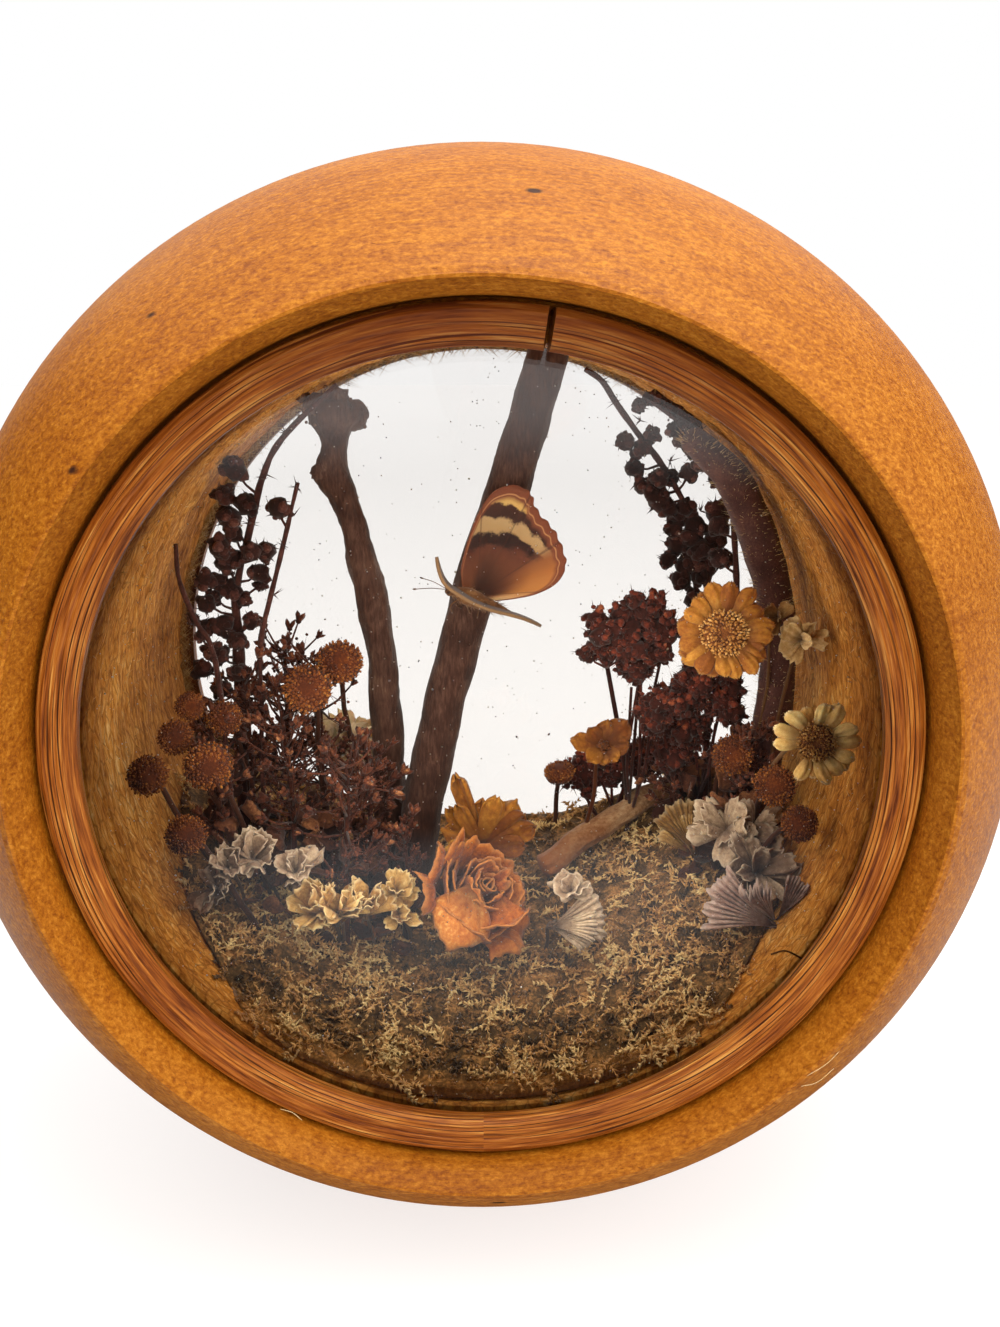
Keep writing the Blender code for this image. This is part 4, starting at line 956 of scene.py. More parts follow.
def seed_spray(name, node, stem, capsules, tufts, seed, radius=1.16):
    """A stem with capsules on thin stalks and a few empty starry tufts."""
    heap = Heap()
    line = smooth_line(stem, 8)
    line[:, 3] *= 0.68 + 0.2 * rumple(line[:, :3], 3.0, 1.0, seed)
    tubes(heap, line[:, :3], line[:, 3], 9, 0.62, 0.08, seed)
    draw = np.random.default_rng(seed)
    if len(capsules):
        spots = np.array(capsules)
        places, size = spots[:, :3], spots[:, 3] * radius
        below = places - (0, 0, 1.6) - size[:, None] * (0, 0, 0.6)
        nearest = np.argmin(np.linalg.norm(line[None, :, :3] - below[:, None], axis=2), axis=1)
        foot = line[nearest, :3]
        middle = foot * 0.5 + places * 0.5 + (0, 0, -0.5)
        tubes(heap, np.stack([foot, middle, places], 1), [0.3, 0.22, 0.25], 5, 0.6)
        lumps(
            heap, places, size * 0.86, finer=2, rough=0.25, tint=draw.uniform(0.1, 0.4, len(places)),
            seed=seed)
        out = unit(draw.normal(size=(len(places), LOBES, 3)))
        lobes = (places[:, None] + out * size[:, None, None] * 0.68).reshape(-1, 3)
        thick = np.repeat(size, LOBES) * draw.uniform(0.3, 0.52, len(places) * LOBES)
        lumps(
            heap, lobes, np.stack([thick * 0.9, thick, thick * 1.15], 1), finer=2, rough=0.4, seed=seed + 1,
            tint=draw.uniform(0.1, 0.85, len(lobes)),
            ahead=out.reshape(-1, 3) + draw.normal(size=lobes.shape) * 0.4)
        out = unit(draw.normal(size=(len(places), SEPALS, 3)))
        roots = places[:, None] + out * size[:, None, None] * 0.7
        ahead = unit(out + draw.normal(size=out.shape) * 0.45) * size[:, None, None]
        tips = places[:, None] + ahead * draw.uniform(1.0, 1.5, (len(places), SEPALS, 1))
        slivers(heap, roots, tips, 0.2, draw.uniform(0.3, 0.9, len(places) * SEPALS))
    if len(tufts):
        spots = np.repeat(np.array(tufts, float), TUFT_RAYS, axis=0)
        out = unit(draw.normal(size=spots.shape) + (0, 0, 0.3))
        slivers(heap, spots, spots + out * draw.uniform(1.0, 2.4, (len(spots), 1)), 0.16, 0.7)
    heap.piece(name, DARK_SEED, node, "dark_seed")


seed_spray(
    "left_capsule_spray", "left_berry_spray", LEFT_STEM, LEFT_CAPSULES,
    ((-37.0, 3.6, 122.6), (-36.6, 3.6, 123.4), (-39.8, 4.6, 114.9), (-33.0, 3.0, 130.3), (-43.4, 6, 106)), 1)
seed_spray(
    "left_side_stalk", "left_side_berry_stem",
    (
        (-39.4, 0, 52, 0.7), (-38.7, 0, 84, 0.7), (-38.2, 0, 95, 0.7), (-36.4, 0, 102.3, 0.65),
        (-33.6, 0, 112, 0.6), (-31.9, 0, 118.4, 0.5), (-30.8, 0, 122.4, 0.5)),
    ((-34.4, 0.6, 118.2, 1.8),),
    ((-31.0, 0, 121.7), (-33.7, 0, 111.8), (-35.6, 0, 103.4), (-38.2, 0, 99.1), (-31.6, 0, 117.0)), 2)
seed_spray(
    "left_wall_stalk", "left_wall_twig",
    (
        (-43.6, -3, 56, 0.7), (-45.0, -3, 86, 0.7), (-46.1, -3, 95, 0.7), (-48.4, -3, 99.4, 0.6),
        (-50.8, -3, 106.6, 0.6), (-51.0, -3, 112.6, 0.5)),
    ((-47.9, -2.6, 96.8, 1.0),), ((-49.2, -3, 99.0), (-46.1, -3, 95.0)), 3)
seed_spray(
    "right_capsule_spray", "right_berry_spray", RIGHT_STEM, RIGHT_CAPSULES,
    ((21.3, 19, 138.6), (23.9, 19, 134.9), (28.4, 19, 131.6), (34.0, 18.6, 124.4), (39.8, 18, 115.4)), 4)
seed_spray(
    "right_side_stalk", "right_side_berry_stem",
    (
        (47.0, 12, 56, 0.8), (47.0, 12, 90, 0.8), (45.6, 11, 103.5, 0.8), (44.4, 10, 113.5, 0.75),
        (43.2, 9, 118, 0.7), (37.4, 7, 128.6, 0.6), (28.5, 7, 135.6, 0.5)),
    (
        (26.7, 7.5, 134.8, 1.2), (28.5, 8.1, 135.8, 1.2), (29.7, 7.7, 136.3, 1.2), (31.3, 8.2, 135.4, 1.4),
        (32.9, 8.3, 134.1, 1.6), (34.5, 7.1, 132.5, 1.5), (36.3, 7.0, 130.4, 1.6), (37.9, 8.7, 128.1, 1.6),
        (39.0, 7.5, 126.5, 1.6), (36.0, 7.5, 127.3, 1.4), (34.4, 9.0, 128.9, 1.4), (32.8, 7.9, 130.7, 1.2),
        (38.0, 8.7, 124.6, 1.4), (41.4, 11, 122.0, 1.7), (41.8, 11, 113.6, 1.8), (42.2, 11, 108.0, 1.7)),
    ((30.6, 7, 134.6), (40.6, 8, 123.4), (43.6, 10, 116.0)), 5)

# %% [markdown]
# ## Dock stalks
# Between the buttons stand fine red-brown stalks that branch again and again. Each branch ends in a
# small split capsule like an open beak of four pointed scales. They make the dark thicket on the left.

# %% Split capsules
LEAF_RADIUS, LEAF_DEPTH = 57.5, 31.5  # loose leaves and tips stay a little inside the bore
RED_STALK = dried(
    "red_brown_capsule_scale", [(0.0, "#1b0a06"), (0.4, "#3b180e"), (0.7, "#68331c"), (1.0, "#b07648")],
    patch=0.5, grain=2.5, roughness=0.6)


def split_capsules(heap, places, ahead, size, draw):
    """Open capsules of four pointed scales round a small seed."""
    turn = frames(ahead, draw.uniform(0, ANY_ROLL, len(places)))
    lumps(heap, places, size * 0.42, finer=1, rough=0.3, tint=0.3)
    for quarter in range(4):
        angle = quarter * math.pi / 2
        lean = math.cos(angle) * turn[:, :, 0] + math.sin(angle) * turn[:, :, 1]
        out = unit(turn[:, :, 2] + 0.62 * lean)
        lumps(
            heap, places + out * size[:, None] * 0.6, np.stack([size * 0.28, size * 0.38, size * 0.8], 1),
            finer=1, rough=0.3, tint=draw.uniform(0.3, 0.95, len(places)), ahead=out)


def branched_stalk(name, node, foot, tip, seed, twigs, reach):
    """One stalk with side shoots, each ending in a capsule."""
    draw = np.random.default_rng(seed)
    heap = Heap()
    base = np.array([foot[0], foot[1], float(moss_height(*foot)) - 5])
    tip = np.array(tip, float)
    share = np.linspace(0, 1, 8)[:, None]
    stem = base + (tip - base) * share
    stem = stem + wobble(stem, 9.0, 1.0, seed) * share
    tubes(heap, stem, np.linspace(0.65, 0.35, 8), 7, 0.4, 0.05, seed)
    start = draw.uniform(0.42, 1.0, twigs)
    roots = np.stack([np.interp(start, share[:, 0], stem[:, k]) for k in range(3)], -1)
    out = unit(draw.normal(size=(twigs, 3)) * (1, 0.8, 0.5) + (0, -0.1, 0.75))
    ends = roots + out * draw.uniform(0.45, 1.0, (twigs, 1)) * reach
    ends = inside_bore(ends, 57.0, 32.0)
    knee = roots * 0.45 + ends * 0.55 + (0, 0, -0.7)
    tubes(heap, np.stack([roots, knee, ends], 1), [0.24, 0.2, 0.16], 5, draw.uniform(0.3, 0.7, twigs))
    split_capsules(heap, ends, unit(ends - knee), draw.uniform(0.9, 1.6, twigs), draw)
    small = np.repeat(knee, 3, axis=0)
    rays = unit(draw.normal(size=small.shape) + (0, 0, 0.4))
    tips = inside_bore(small + rays * draw.uniform(1.5, 3.6, (len(small), 1)), 57.5, 32.0)
    slivers(heap, small, tips, 0.11, 0.7)
    lumps(heap, tips, 0.32, finer=1, rough=0.4, tint=0.6)
    heap.piece(name, RED_STALK, node, "twig_bark")


# name, solid, foot, tip, how many shoots and how far they reach
STALKS = (
    ("left", "dock_stem_1", (-33, -2), (-34.6, -3, 84), 46, 9.0),
    ("middle", "dock_stem_2", (-28, 5), (-29.6, 5, 90), 44, 8.0),
    ("right", "dock_stem_3", (-24, -9), (-23.0, -9, 76), 46, 9.0),
    ("4", None, (-41, 3), (-41.5, 2, 88), 46, 7.5), ("5", None, (-36, 10), (-36.0, 10, 92), 44, 8.0),
    ("6", None, (-21, 3), (-19.8, 1, 74), 40, 7.5), ("7", None, (-14, -5), (-13.4, -6, 63), 26, 5.5),
    ("8", None, (-45, -6), (-46.0, -7, 82), 30, 6.5), ("9", None, (45, 1), (46.5, -2, 79), 34, 7.0),
    ("10", None, (36, 16), (36.0, 14, 74), 34, 7.0))
for seed, (label, node, foot, tip, twigs, reach) in enumerate(STALKS, start=11):
    branched_stalk("dock_stalk_" + label, node, foot, tip, seed, twigs, reach)

# %% [markdown]
# Dead leaves, curled and crumpled, lie between the stalks and hide where they enter the moss.

# %% Crumpled leaves
DEAD_LEAF = dried(
    "crumpled_dead_leaf", [(0.0, "#1c0e09"), (0.4, "#43231a"), (0.7, "#6f4128"), (1.0, "#a87044")],
    patch=0.3, grain=1.8, roughness=0.75, relief=0.6)


def crumpled_leaves(name, low, high, count, seed):
    """Curled leaves in a box above the moss, most of them near the ground."""
    draw = np.random.default_rng(seed)
    heap = Heap()
    s = np.linspace(0, 1, 9)[:, None]
    c = np.linspace(-1, 1, 7)[None, :]
    for _ in range(count):
        spot = draw.uniform(low, high)
        lift = draw.random() ** 1.8 * high[2] + 1.0
        spot[2] = float(moss_height(spot[0], spot[1])) + lift
        size, curl = draw.uniform(3.0, 6.5), draw.uniform(-1.6, 1.6)
        wide = size * 0.34 * np.sin(math.pi * np.clip(s * 0.93 + 0.04, 0, 1)) ** 0.7
        bend = curl * s
        leaf = np.stack(
            [
                wide * c + 0 * s, size * np.sin(bend + 0.001) / (curl + 0.001) + 0 * c,
                size * (1 - np.cos(bend)) / (curl + 0.001) + 0.6 * wide * abs(c) * np.sign(curl)],
            -1)
        leaf += draw.normal(size=leaf.shape) * 0.10 + np.sin(
            leaf[..., [1, 2, 0]] * 1.9 + draw.uniform(0, 6)) * 0.3
        turn = frames(draw.normal(size=3), draw.uniform(0, ANY_ROLL))[0]
        sheets(
            heap, inside_bore(leaf @ turn.T + spot, LEAF_RADIUS, LEAF_DEPTH), 0.14, draw.uniform(0.0, 1.0))
    heap.piece(name, DEAD_LEAF, None, "twig_bark")


crumpled_leaves("dead_leaves_left", (-48, -11, 0), (-13, 12, 19), 120, 17)
crumpled_leaves("dead_leaves_right", (37, -4, 0), (50, 16, 12), 70, 18)

# %% [markdown]
# ## Button flowers
# Rust-coloured buttons, like tansy, are flat cushions of about 250 tiny florets. On the real flower
# the florets follow the golden angle, each one 137.5 degrees on from the last, so that is how they are
# placed here. The middle has sunk to a dimple.

# %% Florets on a spiral
GOLDEN_ANGLE = math.radians(137.508)
BUTTON_FLORETS, BRACTS = 210, 34
RUST_FLORET = dried(
    "dried_tansy_floret", [(0.0, "#2a1007"), (0.35, "#592609"), (0.65, "#8a4a14"), (1.0, "#cd8a38")],
    patch=0.3, grain=2.5, roughness=0.9, relief=0.6, root="#3a1d10")


def seated(local, place, turn):
    """Corners of a flower in its own frame, brought to its place."""
    return np.asarray(local, float) @ turn.T + np.asarray(place, float)


def stalk(heap, foot, neck, radius, tint=0.35, sides=7, seed=0.0, back=11.0):
    """A thin flower stem that leaves its flower to the back, bends and goes down into the moss."""
    neck = np.asarray(neck, float)
    x, y = foot[0], min(foot[1] + back, 28.0)
    base = np.array([x, y, float(moss_height(x, y)) - 4.0])
    bend = np.array([0.7 * neck[0] + 0.3 * x, neck[1] + 0.7 * back, neck[2] - 0.3 * (neck[2] - base[2])])
    line = smooth_line(
        [base, 0.5 * (base + bend) + (0.4, 0, 0), bend, neck + (0, 0.3 * back, -0.6), neck], 4)
    line = inside_bore(line + wobble(line, 8.0, 0.7, seed), 58.0)
    line[-1] = neck
    tubes(
        heap, line, np.linspace(radius * 1.1, radius * 0.8, len(line)), sides, tint, 0.06, seed, along=0.0)


def around(angle, radius, height):
    """Points on a circle of a flower, in its own frame."""
    return np.stack(
        [radius * np.cos(angle), radius * np.sin(angle), np.broadcast_to(height, angle.shape)], -1)


def shaded(middle, rise, spread):
    """How to tint florets: a value for the middle, its rise to the rim and how much they differ."""
    return lambda share, draw: np.clip(middle + rise * share + draw.normal(size=len(share)) * spread, 0, 1)


def florets(heap, place, turn, radius, count, size, dome, dimple, tint, draw):
    """Small lumps on the golden spiral over a domed cushion."""
    number = np.arange(count) + 0.5
    share = np.sqrt(number / count)
    angle = number * GOLDEN_ANGLE
    lift = dome * (1 - share ** 2.6) - dimple * np.exp(-(share / 0.22) ** 2)
    local = around(angle, radius * share, radius * lift)
    local += draw.normal(size=local.shape) * 0.03 * radius
    lean = unit(around(angle, share, 1.1)) @ turn.T
    sizes = np.stack(
        [size * np.ones(count), size * np.ones(count), size * draw.uniform(1.1, 1.9, count)], -1)
    lumps(heap, seated(local, place, turn), sizes, finer=1, rough=0.5, tint=tint(share, draw), ahead=lean)


LEFT_BUTTONS = (
    ((-24.7, 0, 91.6), 3.9, (0.1, -0.8, 0.5), (-24.0, 1)),
    ((-29.4, -7, 88.6), 4.1, (-0.1, -0.9, 0.4), (-29.6, -5)),
    ((-44.0, -19, 79.2), 3.9, (0.3, -0.9, 0.1), (-37.0, -15)),
    ((-49.4, -17, 83.4), 2.9, (0.4, -0.9, 0.2), (-41.0, -12.5)),
    ((-51.4, -27, 80.4), 3.2, (0.5, -0.8, 0.1), (-43.5, -17)),
    ((-46.0, -27.5, 70.8), 3.2, (0.4, -0.8, 0.5), (-38.0, -23)),
    ((-48.8, -9, 86.2), 2.5, (0.4, -0.9, 0.2), (-44.6, -8)),
    ((-43.6, -7, 83.6), 3.0, (0.2, -0.9, 0.3), (-40.6, -6)))
RIGHT_BUTTONS = (
    ((43.2, -4, 75.8), 3.5, (-0.1, -0.9, 0.3), (41.6, -3)),
    ((48.6, -13, 73.4), 3.5, (-0.3, -0.9, 0.4), (45.4, -12)),
    ((51.0, -21, 69.8), 3.0, (-0.5, -0.8, 0.2), (40.0, -18)),
    ((14.4, 16, 66.0), 2.9, (-0.1, -0.3, 0.9), (13.8, 16.4)))
for side, rows in (("left", LEFT_BUTTONS), ("right", RIGHT_BUTTONS)):
    for number, (place, radius, toward, foot) in enumerate(rows, start=1):
        draw = np.random.default_rng(number + len(rows) * 10)
        heap = Heap()
        turn = frames(toward)[0]
        lumps(
            heap, seated([(0, 0, -0.12 * radius)], place, turn),
            [(0.93 * radius, 0.93 * radius, 0.5 * radius)], finer=3, rough=0.06, tint=0.2, ahead=[toward])
        florets(
            heap, place, turn, radius, BUTTON_FLORETS, 0.066 * radius, 0.34, 0.30, shaded(0.32, 0.35, 0.16),
            draw)
        ring = np.arange(BRACTS) * 2 * math.pi / BRACTS
        low = around(ring, 0.75 * radius, -0.52 * radius)
        high = around(ring + 0.1, 1.06 * radius, draw.uniform(-0.12, 0.12, BRACTS) * radius)
        slivers(
            heap, seated(low, place, turn), seated(high, place, turn), 0.09 * radius,
            draw.uniform(0.1, 0.7, BRACTS))
        stalk(heap, foot, seated([(0, 0, -0.5 * radius)], place, turn)[0], 0.5, seed=number)
        heap.piece(
            "%s_tansy_button_%d" % (side, number), RUST_FLORET, "%s_button_%d" % (side, number),
            "rust_flower")

# %% [markdown]
# ## Daisies
# Two daisies face the front glass. A daisy's petal is a strip with two or three pleats that ends in
# small teeth. So each one here is a grid of points, narrow at the root and notched at the tip, bent a
# little its own way. The disc is a spiral of florets again, with a ring of taller ones round it.

# %% Daisy petals
AMBER_PETAL = dried(
    "dried_amber_petal", [(0.0, "#5a2907"), (0.4, "#874b10"), (0.7, "#ad7220"), (1.0, "#cf9b48")],
    patch=0.3, grain=1.8, roughness=0.65, root="#5e3312", rim="#cf9a50", glow=0.15)
CREAM_PETAL = dried(
    "dried_cream_petal", [(0.0, "#b07a34"), (0.35, "#e8b263"), (0.65, "#ffd78a"), (1.0, "#fff0bd")],
    patch=0.3, grain=1.8, roughness=0.65, root="#6e4a26", rim="#fff0c8", glow=0.15)
DISC_FLORET = dried(
    "golden_disc_floret", [(0.0, "#3d1a08"), (0.35, "#7a4416"), (0.7, "#c0863c"), (1.0, "#f0cc88")],
    patch=0.8, grain=3.0)
DISC_FLORETS, TALL_FLORETS = 230, 42


def daisy_petals(angles, start, reach, width, draw, lift=0.0):
    """Surfaces of petals round a disc, in the flower's own frame; each has a round end and three pleats."""
    s = np.linspace(0, 1, 12)[:, None]
    c = np.linspace(-1, 1, 11)[None, :]
    made = []
    for angle in angles:
        long = reach * draw.uniform(0.86, 1.06)
        end = np.sqrt(np.clip(1 - (np.clip(s - 0.72, 0, 1) / 0.29) ** 2, 0.02, 1))
        wide = width * draw.uniform(0.82, 1.12) * (
            0.42 + 0.58 * np.sin(np.clip(s / 0.72, 0, 1) * math.pi / 2)) * end
        y = start + (long - start) * s * (1 + (0.035 * np.cos(c * math.pi * 2.6) - 0.03 * abs(c)) * s ** 5)
        x = wide * c + 0 * s
        pleat = 0.13 * np.cos(c * math.pi * 2.1) * np.sin(s * math.pi * 0.8)
        twist, droop, sway = draw.normal() * 0.22, draw.normal() * 0.09, draw.normal() * 0.07
        z = pleat - 0.45 * wide * c ** 2 + lift + droop * reach * s ** 2 + twist * x * s
        z = z + 0.12 * reach * np.sin(s * 2.4)
        z = z + 0.05 * np.sin(7 * s + 5 * c + 10 * twist)
        x = x + sway * reach * s ** 2
        made.append(
            np.stack(
                [x * math.cos(angle) + y * math.sin(angle), y * math.cos(angle) - x * math.sin(angle), z],
                -1))
    return np.array(made)


def daisy(name, node, place, radius, disc, toward, foot, finish, slot, angles, seed, disc_tint):
    """A daisy: two rows of petals, the disc and the stem."""
    draw = np.random.default_rng(seed)
    turn = frames(toward)[0]
    heap = Heap()
    width = radius * math.pi / 14 * 0.80
    surfaces = daisy_petals(angles, disc * 0.75, radius, width, draw, 0.0)
    sheets(heap, seated(surfaces, place, turn), 0.22, draw.uniform(0.25, 0.8, len(angles)))
    behind = daisy_petals(np.array(angles[::2]) + 0.22, disc * 0.7, radius * 0.93, width, draw, -0.9)
    sheets(heap, seated(behind, place, turn), 0.22, draw.uniform(0.0, 0.4, len(behind)))
    stalk(heap, foot, seated([(0, 0, -0.4 * disc)], place, turn)[0], 0.4, tint=0.1, seed=seed, back=24.0)
    heap.piece(name, finish, node, slot)
    eye = Heap()
    lumps(
        eye, seated([(0, 0, -0.1 * disc)], place, turn), [(0.95 * disc, 0.95 * disc, 0.42 * disc)], finer=3,
        tint=0.1, ahead=[toward])
    florets(eye, place, turn, disc * 1.02, DISC_FLORETS, 0.062 * disc, 0.36, 0.16, disc_tint, draw)
    low = around(np.arange(TALL_FLORETS) * GOLDEN_ANGLE, disc * 0.86, 0.02 * disc)
    high = low * (1.18, 1.18, 0) + (0, 0, 0.42 * disc) + draw.normal(size=low.shape) * 0.12
    slivers(
        eye, seated(low, place, turn), seated(high, place, turn), 0.2, draw.uniform(0.6, 1.0, TALL_FLORETS))
    eye.piece(name + "_disc", DISC_FLORET, None, slot)


ALL_ROUND = [index * 2 * math.pi / 16 + 0.1 + 0.05 * math.sin(3 * index) for index in range(16)]
MISSING_SOME = [0.05, 0.55, 1.0, 1.5, 2.0, 2.55, 3.0, 3.5, 4.55, 5.0, 5.6]
daisy(
    "amber_daisy_flower", "amber_daisy", (39.4, -11, 99.0), 8.2, 4.0, (-0.1, -0.95, 0.2), (40.0, 14),
    AMBER_PETAL, "amber_petal", ALL_ROUND, 21, shaded(0.25, 0.7, 0.14))
daisy(
    "cream_daisy_flower", "cream_daisy", (51.2, -27.0, 85.4), 6.5, 3.1, (-0.2, -0.95, 0.1), (47.0, -5),
    CREAM_PETAL, "cream_petal", MISSING_SOME, 22, shaded(0.15, 0.9, 0.16))

# %% [markdown]
# ## Rose
# The rose in the middle dried to a burnt orange. It leans up and to the right, so its heart is seen off
# the middle and one big petal bulges at the lower left. Its heart is one sheet rolled to a spiral, with
# cupped petals round it at the golden angle. The outer petals are placed one by one: six that wrap
# the bud, three torn ones that curl down below it, and three narrow ones that stand at the upper left.

# %% Rose
ROSE_PETAL = dried(
    "dried_rose_petal",
    [(0.0, "#3c1504"), (0.32, "#783608"), (0.58, "#a55812"), (0.82, "#bd752b"), (1.0, "#d39d55")],
    patch=0.45, grain=1.8, roughness=0.65, relief=0.7, root="#2c100a", rim="#c98c4a", glow=0.05)
ROSE_PLACE, ROSE_TOWARD, ROSE_RADIUS = (-1.0, -14.0, 54.6), (0.52, -0.52, 0.68), 9.0
INNER_PETALS = 11


def rose_petal(angle, reach, rise, wrap, curl, seed):
    """Surface of one cupped petal; wrap is half its width as an angle round the flower."""
    rows, columns = 17, 23
    s = np.linspace(0, 1, rows)[:, None]
    c = np.linspace(-1, 1, columns)[None, :]
    torn = edge_noise(c, 3.1, seed, 0) + 0.45 * edge_noise(c, 8, seed, 4)
    turned = angle + wrap * c * (0.5 + 0.55 * np.sin(s * math.pi / 2))
    rim = 1 - 0.30 * abs(c) ** 2.4 + 0.13 * torn
    height = ROSE_RADIUS * (-0.66 + rise * rim * s ** 0.85)
    radius = ROSE_RADIUS * reach * (
        0.2 + 0.8 * np.sin(np.clip(s * 1.2, 0, 1.2) * math.pi / 2.3) ** 0.75) + 0 * c
    outward = curl * np.clip((s - 0.70) / 0.30, 0, 1) ** 2 * (1 + 0.5 * torn)
    radius = radius + ROSE_RADIUS * 0.26 * outward
    height = height - ROSE_RADIUS * 0.17 * outward
    flat = np.stack([radius * np.cos(turned), radius * np.sin(turned), height + 0 * c], -1)
    crinkle = rumple(flat.reshape(-1, 3), 3.4, 1.9, seed).reshape(rows, columns) * s
    crinkle = crinkle + rumple(flat.reshape(-1, 3), 1.2, 0.5, seed + 3).reshape(rows, columns) * s ** 1.5
    flat[..., :2] *= (1 + crinkle / np.maximum(radius, 1.5) * 0.5)[..., None]
    flat[..., 2] += crinkle * 0.6
    return flat


def rose_heart():
    """The rolled middle: one sheet wound round itself two and a half times."""
    s = np.linspace(0, 1, 11)[:, None]
    wind = np.linspace(0, 1, 80)[None, :]
    angle = 2.6 * 2 * math.pi * wind
    radius = (0.3 + 1.1 * wind ** 0.9) * (0.7 + 0.4 * s ** 2) + 0.3 * np.sin(angle * 1.7 + 1) * s
    height = -2.0 + s * (6.6 - 1.4 * wind) + 0.5 * np.sin(angle * 1.3) * s
    return np.stack([radius * np.cos(angle), radius * np.sin(angle), height], -1)


rose = Heap()
turn = frames(ROSE_TOWARD)[0]
draw = np.random.default_rng(33)
petals = []
for number in range(INNER_PETALS):
    layer = number / (INNER_PETALS - 1)
    angle = number * GOLDEN_ANGLE + draw.uniform(-0.25, 0.25)
    rise = 1.30 - 0.24 * layer + draw.uniform(-0.1, 0.1)
    curl = draw.uniform(0.0, 0.5)
    petals.append(rose_petal(angle, 0.22 + 0.42 * layer, rise, 1.0 - 0.1 * layer, curl, 3.0 * number))
tints = draw.uniform(0.1, 0.55, INNER_PETALS)
# turn round the flower, reach, rise, half width, curl of the rim and tint; a turn of 0 is to the right
OUTER_PETALS = (
    (-2.6, 0.98, 1.02, 0.70, 0.1, 0.45), (-1.2, 0.80, 0.92, 0.70, 0.35, 0.5),
    (-0.35, 0.76, 1.0, 0.75, 0.35, 0.45), (0.7, 0.76, 1.08, 0.85, 0.3, 0.4),
    (1.7, 0.80, 1.18, 0.75, 0.3, 0.45), (2.6, 0.86, 1.2, 0.6, 0.3, 0.35),
    (-1.35, 1.0, 0.72, 0.42, 0.9, 0.6), (-0.75, 1.0, 0.66, 0.40, 1.2, 0.45),
    (-0.2, 0.96, 0.74, 0.35, 0.9, 0.35), (2.3, 1.02, 1.32, 0.36, 0.7, 0.4),
    (2.8, 1.12, 1.14, 0.30, 1.0, 0.3), (1.9, 0.92, 1.42, 0.42, 0.5, 0.35))
for number, (angle, reach, rise, wrap, curl, tint) in enumerate(OUTER_PETALS):
    petals.append(rose_petal(angle, reach, rise, wrap, curl, 70.0 + number))
    tints = np.append(tints, tint)
sheets(rose, seated(np.array(petals), ROSE_PLACE, turn), 0.26, tints)
sheets(rose, seated(rose_heart(), ROSE_PLACE, turn), 0.24, 0.0)
# two petals fell down the front: foot, where the tip points, reach, rise, wrap, curl and tint
FALLEN_PETALS = (
    ((-4.2, -17.6, 52.6), (-0.46, -0.25, -0.85), 0.66, 1.12, 1.15, -0.15, 0.9),
    ((3.4, -16.5, 49.8), (0.20, -0.35, -0.9), 0.46, 0.78, 1.0, 1.1, 0.55))
for foot, down, reach, rise, wrap, curl, tint in FALLEN_PETALS:
    fallen = frames(down)[0]
    front = fallen.T @ np.array([0.0, -1.0, 0.0])
    petal = rose_petal(math.atan2(front[1], front[0]), reach, rise, wrap, curl, 94.0 + reach)
    sheets(rose, seated(petal, foot, fallen), 0.26, tint)
lumps(
    rose, seated([(0, 0, -3.4)], ROSE_PLACE, turn), [(4.6, 4.6, 3.6)], finer=3, rough=0.1, tint=0.1,
    ahead=[ROSE_TOWARD])
stalk(rose, (-1.6, -10), seated([(0, 0, -5.5)], ROSE_PLACE, turn)[0], 1.1, tint=0.1, sides=9, back=4.0)
rose.piece("rose_flower", ROSE_PETAL, "rose", "rose_petal")

# %% [markdown]
# ## Papery flowers
# Statice and other everlastings keep thin papery blooms. Some are fans, pleated from a narrow foot to a
# wide, torn and wavy rim. Most were crushed into tufts: a dozen folded petals that stand round an axis.

# %% Pleated fans
# name, steps of the ramp, roughness, glow, colours of root and rim, colours of the ramp
PAPERS = (
    (
        "cream", (0.0, 0.35, 0.65, 1.0), 0.75, 0.12, "#5a3d20", "#f3dfae",
        ("#553717", "#9b7038", "#cda25c", "#ecd092")),
    (
        "faded_grey", (0.0, 0.4, 0.7, 1.0), 0.8, 0.1, "#4a3226", "#dccab2",
        ("#3b2b22", "#755c49", "#a68c72", "#d2ba9b")),
    (
        "faded_pink", (0.0, 0.4, 0.7, 1.0), 0.8, 0.1, "#3c211c", "#d8c4b6",
        ("#3a2521", "#775a50", "#a58577", "#d0b5a6")),
    (
        "tan", (0.0, 0.4, 0.7, 1.0), 0.8, 0.1, "#54361b", "#d9bf90",
        ("#4e3618", "#8b6638", "#b18c55", "#d3b27e")))
CREAM_PAPER, GREY_PAPER, PINK_PAPER, TAN_PAPER = [
    dried(
        name + "_papery_bloom", list(zip(steps, tones)), patch=0.3, grain=1.6, roughness=rough, root=root,
        rim=rim, glow=glow)
    for name, steps, rough, glow, root, rim, tones in PAPERS]
# A paler copy of the papery finish for the bloom at the back, which sits in shade: partly the bloom's own
# pale colour, partly painted light.
PALE_PAPER_PAINTED_LIT = dried(
    "white_papery_bloom_painted_lit", [(0.0, "#86643f"), (0.4, "#bd9c74"), (1.0, "#e8d3b2")], patch=0.3, grain=1.6,
    root="#7a5a38", glow=0.3)


UP = np.array([0.0, 0.0, 1.0])
CALYX_SLIVERS, FOOT_SLIVERS = 14, 10


